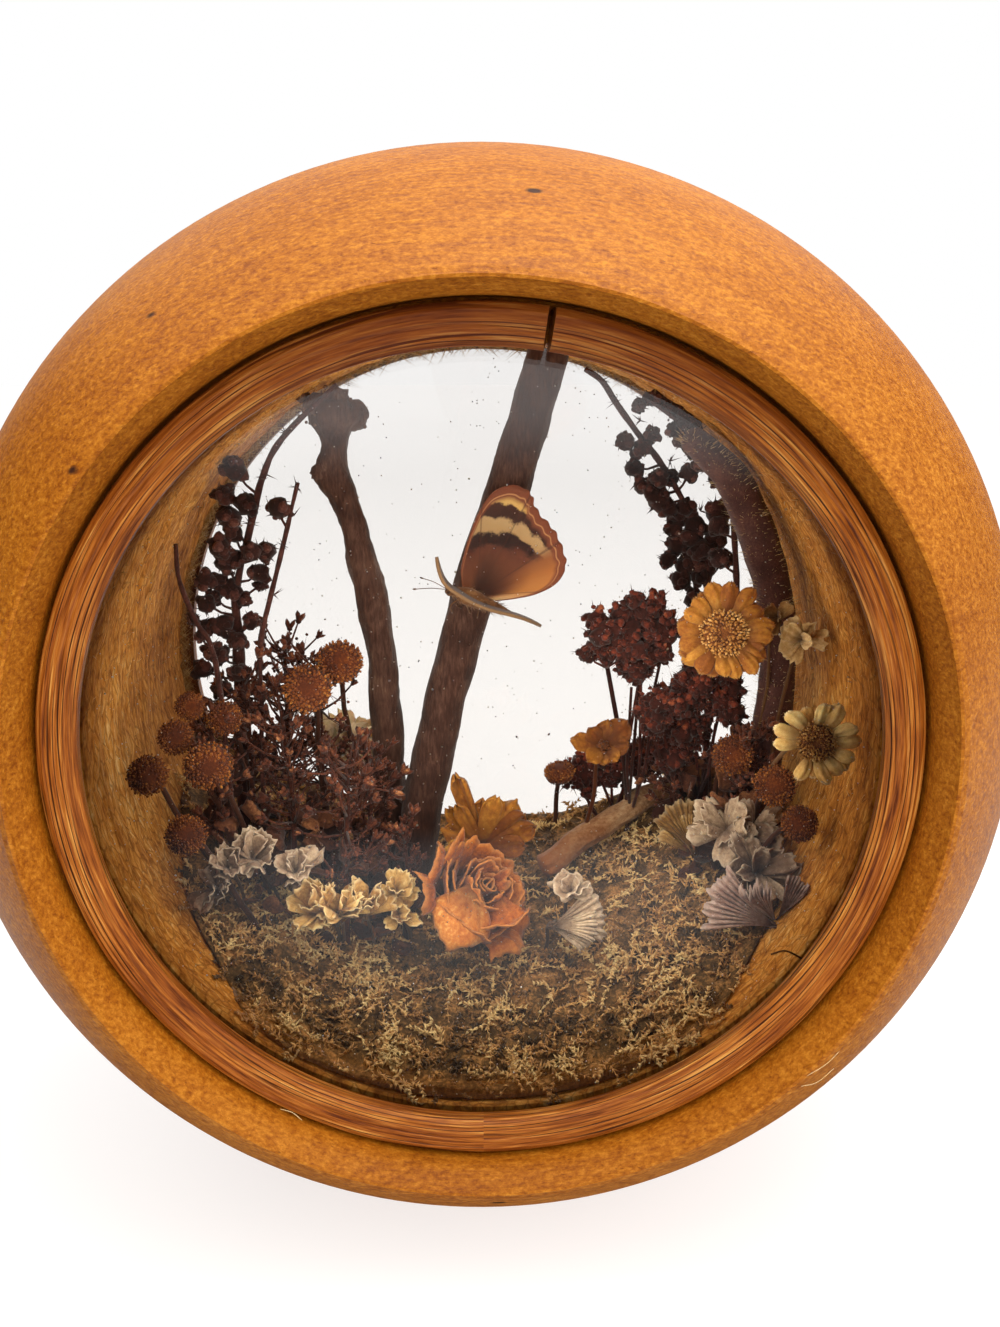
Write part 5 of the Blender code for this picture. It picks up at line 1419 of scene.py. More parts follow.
def fan(reach, spread, pleats, cup, fold, draw):
    """Surface of one pleated fan that opens along its own +Y."""
    rows, columns = 10, 6 * pleats + 1
    s = np.linspace(0.07, 1, rows)[:, None]
    c = np.linspace(-0.5, 0.5, columns)[None, :]
    angle = spread * c * (0.75 + 0.25 * s)
    shift = draw.uniform(0, 50)
    rim = edge_noise(c, 9, shift, 0) + 0.5 * edge_noise(c, 24, shift, 5)
    long = reach * (1 + 0.12 * rim * s ** 3 - 0.015 * np.cos(2 * math.pi * pleats * c) * s ** 4)
    wave = fold * reach * np.cos(2 * math.pi * pleats * c + shift) * s
    ruffle = 0.17 * reach * edge_noise(c, 5, shift, 9) * s ** 2
    x = long * s * np.sin(angle)
    y = long * s * np.cos(angle)
    z = cup * reach * s ** 1.5 + wave + ruffle - 0.12 * reach * np.clip((s - 0.8) / 0.2, 0, 1) ** 2
    return np.stack([x, y, z + 0 * c], -1)


def papery(name, node, finish, slot, place, toward, roll, reach, spread, seed, fans=4, pleats=6, tint=0.5):
    """A head of a few fans with a calyx of slivers and a stem."""
    draw = np.random.default_rng(seed)
    heap = Heap()
    place = np.array(place, float)
    for number in range(fans):
        lean = np.array(toward) + draw.normal(size=3) * (0.28 if number else 0.05)
        turn = frames(lean, -roll + (draw.normal() * 0.55 if number else 0.0))[0]
        share = 1.0 if number == 0 else draw.uniform(0.7, 1.0)
        surface = fan(reach * share, spread * (1.0 if number == 0 else 0.65), pleats, 0.25, 0.06, draw)
        spot = place + turn @ np.array([0, 0, -0.35 * number])
        sheets(
            heap, inside_bore(seated(surface, spot, turn)), 0.18, np.clip(tint + draw.normal() * 0.18, 0, 1))
    turn = frames(toward, -roll)[0]
    ends = seated(draw.normal(size=(CALYX_SLIVERS, 3)) * (0.7, 0.3, 0.7) + (0, 1.4, -0.2), place, turn)
    starts = seated(draw.normal(size=(CALYX_SLIVERS, 3)) * 0.2 - (0, 0.6, 0.2), place, turn)
    slivers(heap, starts, ends, 0.28, 0.12)
    stalk(
        heap, (place[0] * 0.9, place[1] + 3.5), seated([(0, 0.2, -0.2)], place, turn)[0], 0.32, tint=0.05,
        seed=seed, back=8.0)
    heap.piece(name, finish, node, slot)


def papery_tuft(heap, place, toward, count, reach, width, spread, draw, tint):
    """Folded, torn petals that stand round an axis like a crushed paper flower."""
    s = np.linspace(0, 1, 11)[:, None]
    c = np.linspace(-1, 1, 9)[None, :]
    turn = frames(toward)[0]
    for number in range(count):
        angle = number * GOLDEN_ANGLE + draw.normal() * 0.3
        tilt = spread * math.sqrt((number + 0.7) / count) + draw.normal() * 0.12
        radial = np.array([math.cos(angle), math.sin(angle), 0.0])
        ahead = math.sin(tilt) * radial + math.cos(tilt) * UP
        outer = math.cos(tilt) * radial - math.sin(tilt) * UP
        across = np.cross(outer, ahead)
        seed = draw.uniform(0, 60)
        torn = edge_noise(c, 2.6, seed, 0) + 0.5 * edge_noise(c, 7, seed, 4)
        long = reach * draw.uniform(0.75, 1.1) * (1 + 0.22 * torn * s ** 3 - 0.12 * c ** 2 * s ** 2)
        wide = width * draw.uniform(0.75, 1.15) * (0.22 + 0.78 * s ** 0.75) * (
            1 - 0.25 * np.clip(s - 0.85, 0, 1) / 0.15)
        fold = wide * (
            draw.uniform(0.2, 0.75) * abs(c) + 0.16 * np.cos(c * 7 + seed)) * draw.choice((-1, 1, -1))
        curl = draw.uniform(-0.15, 0.35) * reach * s ** 2.2
        surface = (
            (wide * c)[..., None] * across + (long * s)[..., None] * ahead
            + (fold + curl)[..., None] * outer)
        sheets(
            heap, inside_bore(seated(surface - (0, 0, 0.45 * reach), place, turn)), 0.17,
            np.clip(tint + draw.normal() * 0.2, 0, 1))


def papery_head(name, node, finish, slot, tufts, seed, foot):
    """A head of tufts, each a place, axis, number of petals, reach, width, spread and tint."""
    draw = np.random.default_rng(seed)
    heap = Heap()
    for place, toward, count, reach, width, spread, tint in tufts:
        papery_tuft(heap, place, toward, count, reach, width, spread, draw, tint)
        down = -unit(np.array(toward, float)) * 0.5 * reach
        ends = np.array(place) + down * draw.uniform(
            0.2, 0.9, (FOOT_SLIVERS, 1)) + draw.normal(size=(FOOT_SLIVERS, 3)) * 0.9
        starts = np.array(place) + down * 1.5 + draw.normal(size=(FOOT_SLIVERS, 3)) * 0.3
        slivers(heap, starts, ends, 0.25, 0.05)
        stalk(heap, foot, np.array(place) + down * 1.2, 0.32, tint=0.05, seed=seed, back=8.0)
    heap.piece(name, finish, node, slot)


# finish, slot, where the stem goes to and the tufts
LEFT_STATICE = (
    (GREY_PAPER, "grey_petal", (-41, -17), (
        ((-44.6, -21, 58.6), (-0.4, -0.8, 0.4), 9, 5.0, 1.9, 1.25, 0.35),
        ((-41.6, -19, 62.6), (0.2, -0.6, 0.8), 8, 4.6, 1.8, 1.0, 0.6))),
    (GREY_PAPER, "grey_petal", (-36, -12), (
        ((-37.8, -16, 63.4), (0.2, -0.5, 0.8), 12, 5.6, 2.2, 0.95, 0.55),)),
    (GREY_PAPER, "cream_petal", (-30, -12), (
        ((-31.0, -17, 61.0), (0.1, -0.6, 0.8), 12, 5.2, 2.1, 1.0, 0.75),)),
    (CREAM_PAPER, "cream_petal", (-25, -16), (
        ((-27.6, -20, 55.6), (-0.3, -0.5, 0.8), 11, 6.6, 2.1, 0.85, 0.5),
        ((-23.2, -20.5, 56.0), (0.15, -0.35, 0.9), 11, 6.8, 2.0, 0.7, 0.55))),
    (CREAM_PAPER, "cream_petal", (-19, -14), (
        ((-19.6, -19, 55.6), (0.1, -0.4, 0.9), 11, 6.6, 2.1, 0.75, 0.5),)),
    (CREAM_PAPER, "cream_petal", (-13, -12), (
        ((-14.4, -16, 56.6), (0.1, -0.7, 0.7), 9, 4.6, 1.8, 0.95, 0.65),
        ((-13.8, -17, 52.6), (0.2, -0.8, 0.5), 8, 4.4, 1.7, 1.0, 0.6))))
for number, (finish, slot, foot, tufts) in enumerate(LEFT_STATICE, 1):
    papery_head(
        "statice_left_%d" % number, "left_statice_%d" % number, finish, slot, tufts, 40 + number, foot)
papery(
    "statice_right_1", "right_statice_1", TAN_PAPER, "cream_petal", (38.0, 2, 55.6), (-0.1, -0.9, 0.4),
    -0.35, 9.0, 1.25, 47, 4, 9, tint=0.45)
papery_head(
    "statice_right_2", "right_statice_2", GREY_PAPER, "grey_petal",
    (
        ((41.2, -9, 65.4), (-0.3, -0.7, 0.7), 13, 7.4, 2.1, 1.2, 0.8),
        ((46.6, -10, 63.6), (0.2, -0.8, 0.4), 12, 7.0, 2.0, 1.15, 0.6)),
    48, (42, -5))
papery_head(
    "statice_right_3", "right_statice_3", GREY_PAPER, "grey_petal",
    (((46.4, -16, 59.6), (0.1, -0.8, 0.5), 15, 7.6, 1.9, 1.25, 0.35),), 49, (43, -12))
papery(
    "statice_right_4", "right_statice_4", PINK_PAPER, "cream_petal", (48.2, -20, 51.4), (-0.2, -0.9, 0.3),
    -1.2, 11.5, 1.0, 50, 4, 10, tint=0.6)
papery(
    "cream_fan_by_rose", "cream_petals", GREY_PAPER, "cream_petal", (11.6, -17, 50.2), (0.1, -0.9, 0.4),
    1.35, 8.6, 1.15, 51, 3, 7, tint=0.9)
papery_head(
    "pale_bloom_above_fan", None, GREY_PAPER, "cream_petal",
    (((15.0, -16, 56.4), (0.1, -0.7, 0.7), 7, 4.6, 2.6, 0.9, 0.95),), 54, (13, -12))
# Its tufts take the palest tints, painted light on a bloom that sits in shade.
papery_head(
    "pale_bloom_at_back", "pale_back_flower", PALE_PAPER_PAINTED_LIT, "cream_petal",
    (
        ((-27.2, 14, 72.6), (-0.3, -0.7, 0.75), 12, 7.0, 3.0, 1.0, 0.9),
        ((-23.6, 13, 74.0), (0.2, -0.7, 0.75), 11, 7.0, 3.0, 1.0, 1.0)),
    52, (-24, 21))
papery_head(
    "pale_bloom_at_wall", "pale_wall_flower", TAN_PAPER, "grey_petal",
    (
        ((52.2, -10, 97.6), (-0.4, -0.9, 0.1), 7, 4.6, 2.0, 1.35, 0.8),
        ((49.0, -6, 100.6), (-0.4, -0.8, 0.3), 5, 3.6, 1.5, 1.3, 0.4)),
    53, (48.5, -4))

# %% [markdown]
# ## Yarrow
# Flat heads of yarrow dried to the darkest brown. A head is hundreds of floret lumps, each smaller than
# a millimetre and a half, held up by a fork of stalks. From a distance only the rough outline shows.

# %% Yarrow heads
DARK_YARROW = dried(
    "dark_dried_yarrow", [(0.0, "#1e0b07"), (0.4, "#45190f"), (0.7, "#742f1b"), (1.0, "#a85e38")],
    patch=0.4, grain=2.2, relief=0.6)

CLUMPS, CLUMP_FLORETS = 15, 19  # clumps to a lobe and florets to a clump
FLORETS = CLUMPS * CLUMP_FLORETS


def yarrow_head(name, node, lobes, foot, seed):
    """Lobes given as middle and half size, each broken into loose clumps of florets, over thin stalks."""
    draw = np.random.default_rng(seed)
    heap = Heap()
    base = np.array([foot[0], foot[1], float(moss_height(*foot)) - 4])
    for middle, half in lobes:
        middle, half = np.array(middle, float), np.array(half, float)
        clumps = middle + unit(draw.normal(size=(CLUMPS, 3))) * half * draw.uniform(0.35, 0.95, (CLUMPS, 1))
        radius = draw.uniform(1.4, 2.6, CLUMPS)
        out = unit(draw.normal(size=(CLUMPS, CLUMP_FLORETS, 3)))
        reach = radius[:, None, None] * draw.uniform(0.6, 1.1, (CLUMPS, CLUMP_FLORETS, 1))
        place = (clumps[:, None] + out * reach).reshape(-1, 3)
        # Painted light: florets on the upper side of each clump get lighter tints and those underneath
        # darker.
        tint = np.clip(0.3 + 0.3 * out[..., 2].ravel() + draw.normal(size=FLORETS) * 0.22, 0, 1)
        lumps(heap, place, draw.uniform(0.34, 0.84, FLORETS), finer=1, rough=0.7, tint=tint, seed=seed)
        lumps(heap, clumps, radius * 0.75, finer=2, rough=0.4, tint=0.1)
        tips = place + unit(out.reshape(-1, 3) + (0, 0, 0.2)) * draw.uniform(0.7, 2.0, (FLORETS, 1))
        slivers(heap, place, tips, 0.14, draw.uniform(0.2, 1.0, FLORETS))
        fork = middle * 0.86 + base * 0.14 + draw.normal(size=(2, 3)) * (1.2, 0.8, 1.2)
        bend = 0.5 * base + 0.5 * fork + draw.normal(size=(2, 3)) * (1.1, 1.0, 0)
        foot_spread = base + draw.normal(size=(2, 3)) * (1.8, 1.6, 0)
        tubes(
            heap, np.stack([foot_spread, bend, fork], 1), [0.36, 0.32, 0.28], 6, draw.uniform(0.0, 0.4, 2))
        knee = fork[:1] * 0.4 + clumps * 0.6 - (0, 0, 0.8)
        tubes(heap, np.stack([np.repeat(fork[:1], CLUMPS, 0), knee, clumps], 1), [0.26, 0.2, 0.16], 5, 0.4)
    heap.piece(name, DARK_YARROW, node, "dark_seed")


yarrow_head(
    "yarrow_tall", "yarrow_1",
    (
        ((22.4, 4, 94.4), (4.8, 3.4, 4.8)), ((27.6, 4, 98.6), (4.4, 3.2, 5.2)),
        ((27.2, 4, 91.0), (4.0, 3.0, 4.0)), ((31.4, 4, 95.0), (2.6, 2.6, 4.0))),
    (28.5, 21), 61)
yarrow_head(
    "yarrow_wide", "yarrow_2",
    (
        ((35.8, 6, 84.0), (5.2, 3.2, 4.4)), ((43.0, 6, 82.6), (5.0, 3.2, 4.4)),
        ((39.5, 5, 88.0), (4.6, 3.0, 3.6)), ((31.0, 5, 80.6), (2.8, 2.4, 3.2)),
        ((37.6, 10, 76.4), (4.6, 2.6, 3.0)), ((36.0, 12, 71.0), (4.0, 2.4, 2.6))),
    (40.5, 21), 62)
yarrow_head(
    "yarrow_low_at_back", "yarrow_3",
    (
        ((18.6, 23, 62.6), (4.4, 3.0, 3.6)), ((24.0, 23, 65.0), (4.0, 3.0, 4.0)),
        ((29.6, 24, 66.4), (4.6, 3.0, 3.8))),
    (24.4, 24), 63)

# %% [markdown]
# ## Amber flowers
# Behind the rose and beside the yarrow are two heads of thin amber petals with the white background
# behind them. They are round and veined, and let the light soak through, so they glow.

# %% Round amber petals
GLOWING_PETAL = dried(
    "thin_amber_petal", [(0.0, "#3c1804"), (0.4, "#6c3a0b"), (0.75, "#9c651a"), (1.0, "#d09c44")],
    patch=0.4, grain=1.2, roughness=0.6, root="#4e2208", glow=0.2)

# petals as turn, reach and width
FLOWER_PETALS = (
    (-1.35, 6.2, 1.7), (-0.7, 4.4, 1.8), (0.1, 4.8, 2.0), (0.7, 6.2, 2.5), (1.5, 4.4, 1.9), (2.3, 3.4, 1.7),
    (-2.2, 4.2, 1.7), (3.1, 3.2, 1.5))
BUNCH_PETALS = (
    (-1.15, 7.6, 1.9), (-0.75, 9.0, 1.9), (-0.35, 13.6, 1.5), (-0.5, 9.0, 1.4), (0.0, 8.6, 2.1),
    (0.3, 9.8, 2.1), (0.62, 10.2, 2.2), (0.9, 9.6, 2.1), (1.2, 10.2, 2.0), (1.5, 8.0, 2.0), (-1.6, 6.6, 1.8))
STAMENS = 30


def round_petals(heap, place, toward, petals, draw, thickness=0.2):
    """Petals given as turn, reach and width, cupped toward the viewer."""
    s = 1 - (1 - np.linspace(0.05, 1, 13)[:, None]) ** 1.7
    c = np.linspace(-1, 1, 13)[None, :]
    for turn_by, reach, width in petals:
        blunt = min(0.9 * width / reach, 0.5)
        turn = frames(np.array(toward) + draw.normal(size=3) * 0.16, -turn_by)[0]
        end = np.sqrt(np.clip(1 - (np.clip(s - 1 + blunt, 0, 1) / blunt) ** 2, 0.03, 1))
        wide = width * (0.3 + 0.7 * np.sin(np.clip(s / 0.75, 0, 1) * math.pi / 2)) * end
        y = reach * s * (1 - 0.06 * c ** 2 + 0.03 * np.sin(c * 7 + turn_by))
        z = 0.22 * reach * s ** 1.4 - 0.16 * width * c ** 2 + 0.12 * np.cos(c * 12) * s
        z = z + 0.10 * reach * np.sin(c * 4 + turn_by * 3) * s ** 2
        surface = np.stack([wide * c + 0 * s, y, z], -1)
        sheets(heap, inside_bore(seated(surface, place, turn)), thickness, draw.uniform(0.2, 0.9))


draw = np.random.default_rng(71)
flower = Heap()
round_petals(flower, (21.6, 3, 75.0), (0.0, -0.9, 0.3), FLOWER_PETALS, draw)
lumps(flower, np.array([21.6, 2.6, 75.4]) + draw.normal(size=(STAMENS, 3)) * 0.6, 0.4, rough=0.4, tint=0.1)
stalk(flower, (18, 6), (21.6, 3, 74.6), 0.45, tint=0.1)
flower.piece("amber_flower_head", GLOWING_PETAL, "amber_flower", "amber_petal")
flower = Heap()
round_petals(flower, (-0.4, -4, 58.8), (0.0, -0.9, 0.35), BUNCH_PETALS, draw)
stalk(flower, (0.0, -1), (-0.4, -4, 58.4), 0.6, tint=0.1)
flower.piece("amber_petals_behind_rose", GLOWING_PETAL, "amber_bunch", "amber_petal")

# %% [markdown]
# ## Butterfly
# The butterfly sits on the middle twig with one pair of wings closed upright and the other pair spread
# toward the viewer, so that those show as thin edges. Its scales make the pattern: dark brown, two
# cream bands, an orange-brown base and a hindwing that pales to cream at its edge. Bands are soft
# steps across the height of the wing, with a noise that makes them wander. Nine veins run from the
# root to the scalloped margin.

# %% Wing scales
VEINS, SCALLOPS = 9, 19


def wing_scales():
    """Scales of the upright wings, from the place on the wing in mm and the two mesh values."""
    made, shader, add = new_finish(
        "butterfly_wing_scales", Roughness=0.7, Sheen_Weight=0.3, Subsurface_Weight=0.25,
        Subsurface_Radius=SOAK, Subsurface_Scale=0.0008)
    spot = add("SeparateXYZ", in_mm(add), out=None)
    wander = add("TexNoise", Vector=in_mm(add), Scale=0.42, Detail=3.0)
    fine = add("TexNoise", Vector=in_mm(add), Scale=4.0, Detail=3.0)
    slope = add("Math MULTIPLY_ADD", spot["X"], 0.28, spot["Z"])
    middle = add("Math SUBTRACT", spot["X"], 4.0)
    middle = add("Math MULTIPLY", middle, middle)
    slope = add("Math MULTIPLY_ADD", middle, 0.065, slope)
    level = add("Math MULTIPLY_ADD", wander, 3.0, slope)
    level = add("Math MULTIPLY_ADD", fine, 0.9, level)
    share = add("MapRange", level, 104.5, 126.5)
    along = add("Attribute", attribute_name="along", out="Fac")
    tint = add("Attribute", attribute_name="tint", out="Fac")
    ramp = add(
        "ValToRGB", share,
        stops=[
            (0.0, "#6a3814"), (0.25, "#643416"), (0.455, "#542813"), (0.49, "#2b1610"), (0.56, "#2b1610"),
            (0.585, "#96774a"), (0.67, "#9c7f54"), (0.695, "#33190f"), (0.77, "#3c1d10"), (0.79, "#b28e4c"),
            (0.85, "#b08a48"), (0.875, "#552b14"), (1.0, "#5b3119")])
    hind = add("MapRange", tint, 0.64, 0.70)
    hind = add("Math MULTIPLY", hind, add("MapRange", along, 0.25, 0.6))
    gold = add(
        "ValToRGB", tint, stops=[(0.66, "#6e3d16"), (0.76, "#93591f"), (0.87, "#aa7030"), (0.97, "#c6a070")])
    colour = add("Mix RGBA", hind, ramp, gold)
    base = add("MapRange", along, 0.42, 0.1)
    colour = add("Mix RGBA", base, colour, linear("#3a1d10"))
    edge = add("ValToRGB", along, stops=[(0.85, "#000000"), (0.90, "#ffffff")])
    colour = add("Mix RGBA", edge, colour, linear("#6a3315"))
    line = add("Math ABSOLUTE", add("Math SUBTRACT", along, 0.915))
    line = add("MapRange", line, 0.010, 0.003, 0.0, 0.75)
    colour = add("Mix RGBA", line, colour, linear("#a9794a"))
    vein = add("Math MULTIPLY", tint, VEINS)
    vein = add("Math PINGPONG", vein, 1.0)
    vein = add("MapRange", vein, 0.07, 0.02, 0.0, 0.55)
    colour = add("Mix RGBA", vein, colour, linear("#3d1f12"))
    height = add("Math MULTIPLY_ADD", vein, 0.6, fine)
    feed(shader, Base_Color=colour, Normal=add("Bump", Height=height, Strength=0.35, Distance=0.0002))
    return made


WING_SCALES = wing_scales()
EDGE_SCALES = dried(
    "pale_brown_wing_scales", [(0.0, "#1e0d07"), (0.5, "#40200e"), (1.0, "#7c5632")], patch=0.5, grain=3.0,
    root="#2c150b", rim="#93734c")
BODY_FUR = dried(
    "butterfly_body_fur", [(0.0, "#2a160d"), (0.5, "#6b4526"), (1.0, "#b58a5a")], patch=0.6, grain=3.0)

# %% Upright wings
FAR_WING = (
    (-3.4, 104.3), (-3.7, 107.5), (-3.2, 110.2), (-2.3, 113.3), (-1.3, 116.0), (0.1, 118.8), (1.9, 121.0),
    (4.0, 121.9), (5.6, 122.0), (7.3, 121.3), (8.3, 120.3), (8.7, 118.8), (9.7, 117.1), (11.2, 115.5),
    (12.4, 113.9), (13.3, 111.9), (14.0, 109.8), (14.0, 108.1), (13.2, 106.2), (11.5, 104.7), (8.9, 103.5),
    (5.5, 102.8), (2.4, 102.4))
WING_Y = -1.0
WING_ROOT = (-0.9, 103.4)


def wing_surface(outline, root, scallop, camber, rows=26, steps=7):
    """A wing in rows from root to outline: its corners, their depth and their turn round the root."""
    rim = smooth_line(outline, steps)
    turn = np.linspace(0, 1, len(rim))
    out = rim - root
    toothed = np.clip((turn - 0.36) / 0.08, 0, 1) * np.clip((0.82 - turn) / 0.08, 0, 1)
    rim = root + out * (1 + scallop * toothed * np.cos(turn * 2 * math.pi * SCALLOPS))[:, None]
    s = np.linspace(0.04, 1, rows)[:, None, None]
    flat = np.asarray(root) + (rim[None] - root) * s
    share = s[..., 0]
    depth = camber * np.sin(share * math.pi) * np.sin(turn * math.pi)[None]
    depth = depth + 0.10 * np.cos(turn * VEINS * 2 * math.pi)[None] * share
    return flat, depth, turn


flat, depth, turn_share = wing_surface(FAR_WING, WING_ROOT, 0.011, 0.5)
far = Heap()
sheets(far, np.stack([flat[..., 0], WING_Y + depth, flat[..., 1]], -1), 0.16)
far.tint[-1] = np.broadcast_to(turn_share, (2, *flat.shape[:2])).ravel()
far.piece("butterfly_upright_wings", WING_SCALES, "butterfly", "butterfly_scales")

# %% Spread wings, body, legs and antennae
NEAR_WING = (
    (0.0, 0.6), (-1.4, 4.6), (-2.4, 8.0), (-4.2, 13.0), (-4.4, 15.6), (-2.0, 17.4), (3.0, 15.8),
    (8.0, 13.4), (12.6, 10.4), (15.0, 6.6), (15.2, 3.2), (11.0, 0.8), (6.0, -0.4))
BODY_LINE = np.array([0.905, 0.0, -0.425])
TO_VIEWER = np.array([0.0, -0.982, 0.189])
HEAD_END = np.array([-4.4, -1.4, 104.6])
BODY_HAIRS = 420
near = Heap()
flat, depth, turn_share = wing_surface(NEAR_WING, (1.0, 0.8), 0.015, 0.0, rows=16, steps=5)
spread_normal = np.cross(BODY_LINE, TO_VIEWER)
back, out = flat[..., 0], flat[..., 1]
lift = np.where(back < 0, -0.18 * back ** 2, 0.5 * np.sin(back * 0.35)) + 0.03 * out
places = HEAD_END + flat[..., :1] * BODY_LINE + flat[..., 1:] * TO_VIEWER + lift[..., None] * spread_normal
sheets(near, places, 0.5)
near.piece("butterfly_spread_wings", EDGE_SCALES, None, "butterfly_scales")

body = Heap()
line = smooth_line(
    (
        (4.6, -1.4, 100.5, 0.35), (2.4, -1.4, 101.3, 0.85), (0.2, -1.4, 102.1, 1.25),
        (-1.6, -1.4, 102.9, 1.55), (-3.2, -1.4, 103.5, 1.5), (-4.6, -1.4, 104.0, 0.8),
        (-5.0, -1.4, 104.1, 0.7)),
    6)
tubes(body, line[:, :3], line[:, 3], 14, 0.45, 0.1)
HEAD_AND_EYES = np.array([(-5.5, -1.5, 104.2, 0.85), (-5.9, -2.1, 104.3, 0.5), (-5.9, -0.9, 104.3, 0.5)])
lumps(body, HEAD_AND_EYES[:, :3], HEAD_AND_EYES[:, 3], finer=3, rough=0.1, tint=[0.3, 0.05, 0.05])
draw = np.random.default_rng(81)
pick = draw.integers(4, len(line) - 4, BODY_HAIRS)
out = unit(draw.normal(size=(BODY_HAIRS, 3)))
foot = line[pick, :3] + out * line[pick, 3:] * 0.9
tips = foot + (out + BODY_LINE * 0.9) * draw.uniform(0.35, 0.9, (BODY_HAIRS, 1))
slivers(body, foot, tips, 0.07, draw.uniform(0.3, 1.0, BODY_HAIRS))
ANTENNAE = (((-11.4, -3.2, 104.9), (-8.6, -2.4, 104.9)), ((-10.4, 0.2, 106.2), (-8.2, -0.6, 105.6)))
for tip, knee in ANTENNAE:
    tubes(body, smooth_line(((-6.0, -1.5, 104.5), knee, tip), 5), 0.07, 5, 0.2)
    lumps(body, [tip], [(0.14, 0.14, 0.4)], finer=2, tint=0.1, ahead=[np.array(tip) - knee])
LEGS = (
    ((-3.6, -0.8, 103.2), (-4.6, 0.6, 101.6), (-3.8, 1.9, 100.6)),
    ((-2.6, -0.8, 102.8), (-2.6, 1.0, 100.9), (-2.2, 2.2, 99.6)),
    ((-1.6, -0.8, 102.4), (-0.8, 1.0, 100.6), (-1.0, 2.2, 98.8)),
    ((-3.8, -2.2, 103.2), (-5.4, -2.8, 102.0), (-5.2, -1.2, 100.4)))
for leg in LEGS:
    tubes(body, smooth_line(leg, 4), 0.13, 5, 0.2)
body.piece("butterfly_body", BODY_FUR, None, "butterfly_scales")

# %% [markdown]
# ## Torn fibres, dust and threads
# The bore was cut across the grain and left rough, so short pale fibres stand off its wall and hang
# from its upper edge. Most of them form a fringe round its back edge: partly torn fibres, partly
# painted light, since their pale colour covers the band of shade there. Inside the glass there are
# specks of dust, and a few threads are caught on the wood outside. These small traces are what make
# the piece look old and real.

# %% Fibres of the bore
WOOD_FIBRE = dried("torn_wood_fibre", [(0.0, "#8a5a28"), (0.5, "#c99a58"), (1.0, "#ecd09a")], grain=1.0)
draw = np.random.default_rng(91)
count = 11000
# Partly painted light: the pale fringe covers the band of shade along the bore's back edge.
FRINGE_SHARE = 0.68  # of the fibres, as a fringe on the bore's back edge
angle = draw.uniform(-math.pi, math.pi, count) * draw.uniform(0.2, 1.0, count) ** 0.5
depth = draw.uniform(-31, 31.2, count)
rim = draw.random(count) < FRINGE_SHARE
angle = np.where(rim, draw.uniform(-2.1, 2.1, count), angle)
depth = np.where(rim, draw.uniform(28.5, 31.4, count), depth)
wall = np.stack([np.sin(angle), np.zeros(count), np.cos(angle)], -1)
root = wall * (BORE_RADIUS + 0.25) + np.stack([np.zeros(count), depth, np.full(count, AXIS_HEIGHT)], -1)
sideways = np.stack(
    [np.cos(angle), np.zeros(count), -np.sin(angle)], -1) * np.sign(draw.normal(size=count))[:, None]
length = draw.uniform(0.5, 1.5, (count, 1)) * np.where(rim, 2.3, 1.0)[:, None]
tip = root + length * (
    sideways * 0.8 - wall * draw.uniform(0.25, 0.75, (count, 1)) + draw.normal(size=(count, 3)) * 0.22)
above_moss = root[:, 2] > moss_height(root[:, 0], np.clip(depth, -MOSS_END_Y, MOSS_END_Y)) + 0.5
fibres = Heap()
slivers(fibres, root[above_moss], tip[above_moss], 0.1, draw.uniform(0, 1, above_moss.sum()))
fibres.piece("torn_wood_fibres", WOOD_FIBRE, None, "honey_wood")

# %% Dust and threads
DUST = dried("pale_dust_speck", [(0.0, "#b9aea0"), (0.5, "#e4ddd2"), (1.0, "#ffffff")], grain=1.0, glow=0.4)
draw = np.random.default_rng(92)
count = 1500
angle = draw.uniform(0, 2 * math.pi, count)
radius = 57 * np.sqrt(draw.uniform(0, 1, count))
behind_glass = -(dome_y(radius) - GLASS_THICKNESS - 0.06)
specks = np.stack([radius * np.sin(angle), behind_glass, AXIS_HEIGHT + radius * np.cos(angle)], -1)
dust = Heap()
sizes = draw.uniform(0.04, 0.12, count) * np.where(draw.random(count) < 0.06, 1.7, 1.0)
lumps(dust, specks, sizes, finer=1, rough=0.5, tint=draw.uniform(0.3, 1, count))
dust.piece("dust_specks_inside_glass", DUST, None, "clear_glass")

THREAD = dried("caught_thread", [(0.0, "#b98a4a"), (0.5, "#e2c48c"), (1.0, "#f6e6c2")], grain=1.0)
threads = Heap()
THREADS = (
    (((48.4, -44.9, 38.6), (51.5, -44.6, 40.6), (54.6, -43.6, 43.6), (57.4, -43.2, 47.2)), 0.05),
    (((-31.4, -39.6, 30.0), (-29.6, -39.9, 29.6), (-28.2, -39.5, 28.0)), 0.06),
    (((47.6, -45.1, 37.0), (50.0, -45.0, 37.6), (52.6, -44.2, 39.4)), 0.04))
for points, thick in THREADS:
    tubes(threads, smooth_line(points, 5), thick, 5, 0.7)
threads.piece("caught_threads", THREAD, None, "honey_wood")
LOOSE_FIBRE = ((44.6, -32.6, 52.8), (46.6, -33.0, 53.6), (48.6, -33.2, 52.8), (51.4, -33.2, 51.0))
fibre = Heap()
tubes(fibre, smooth_line(LOOSE_FIBRE, 6), 0.16, 6, 0.2, 0.03)
fibre.piece("dark_loose_fibre", RED_BARK, None, "twig_bark")

# %% [markdown]
# ## Studio
# A pale floor that glows a little runs back to a white surround, which lights the piece from all
# sides. One large soft light hangs above. Dark screens, which the camera doesn't see, stand where the
# photographer and the dark room were: they keep the front glass clear. Only the lit patch of floor
# before the piece lies on the glass as a faint haze. A black flag on the left takes away some light
# there, as in the photo. Light that comes in by the front glass is drawn by a soft lamp behind it.

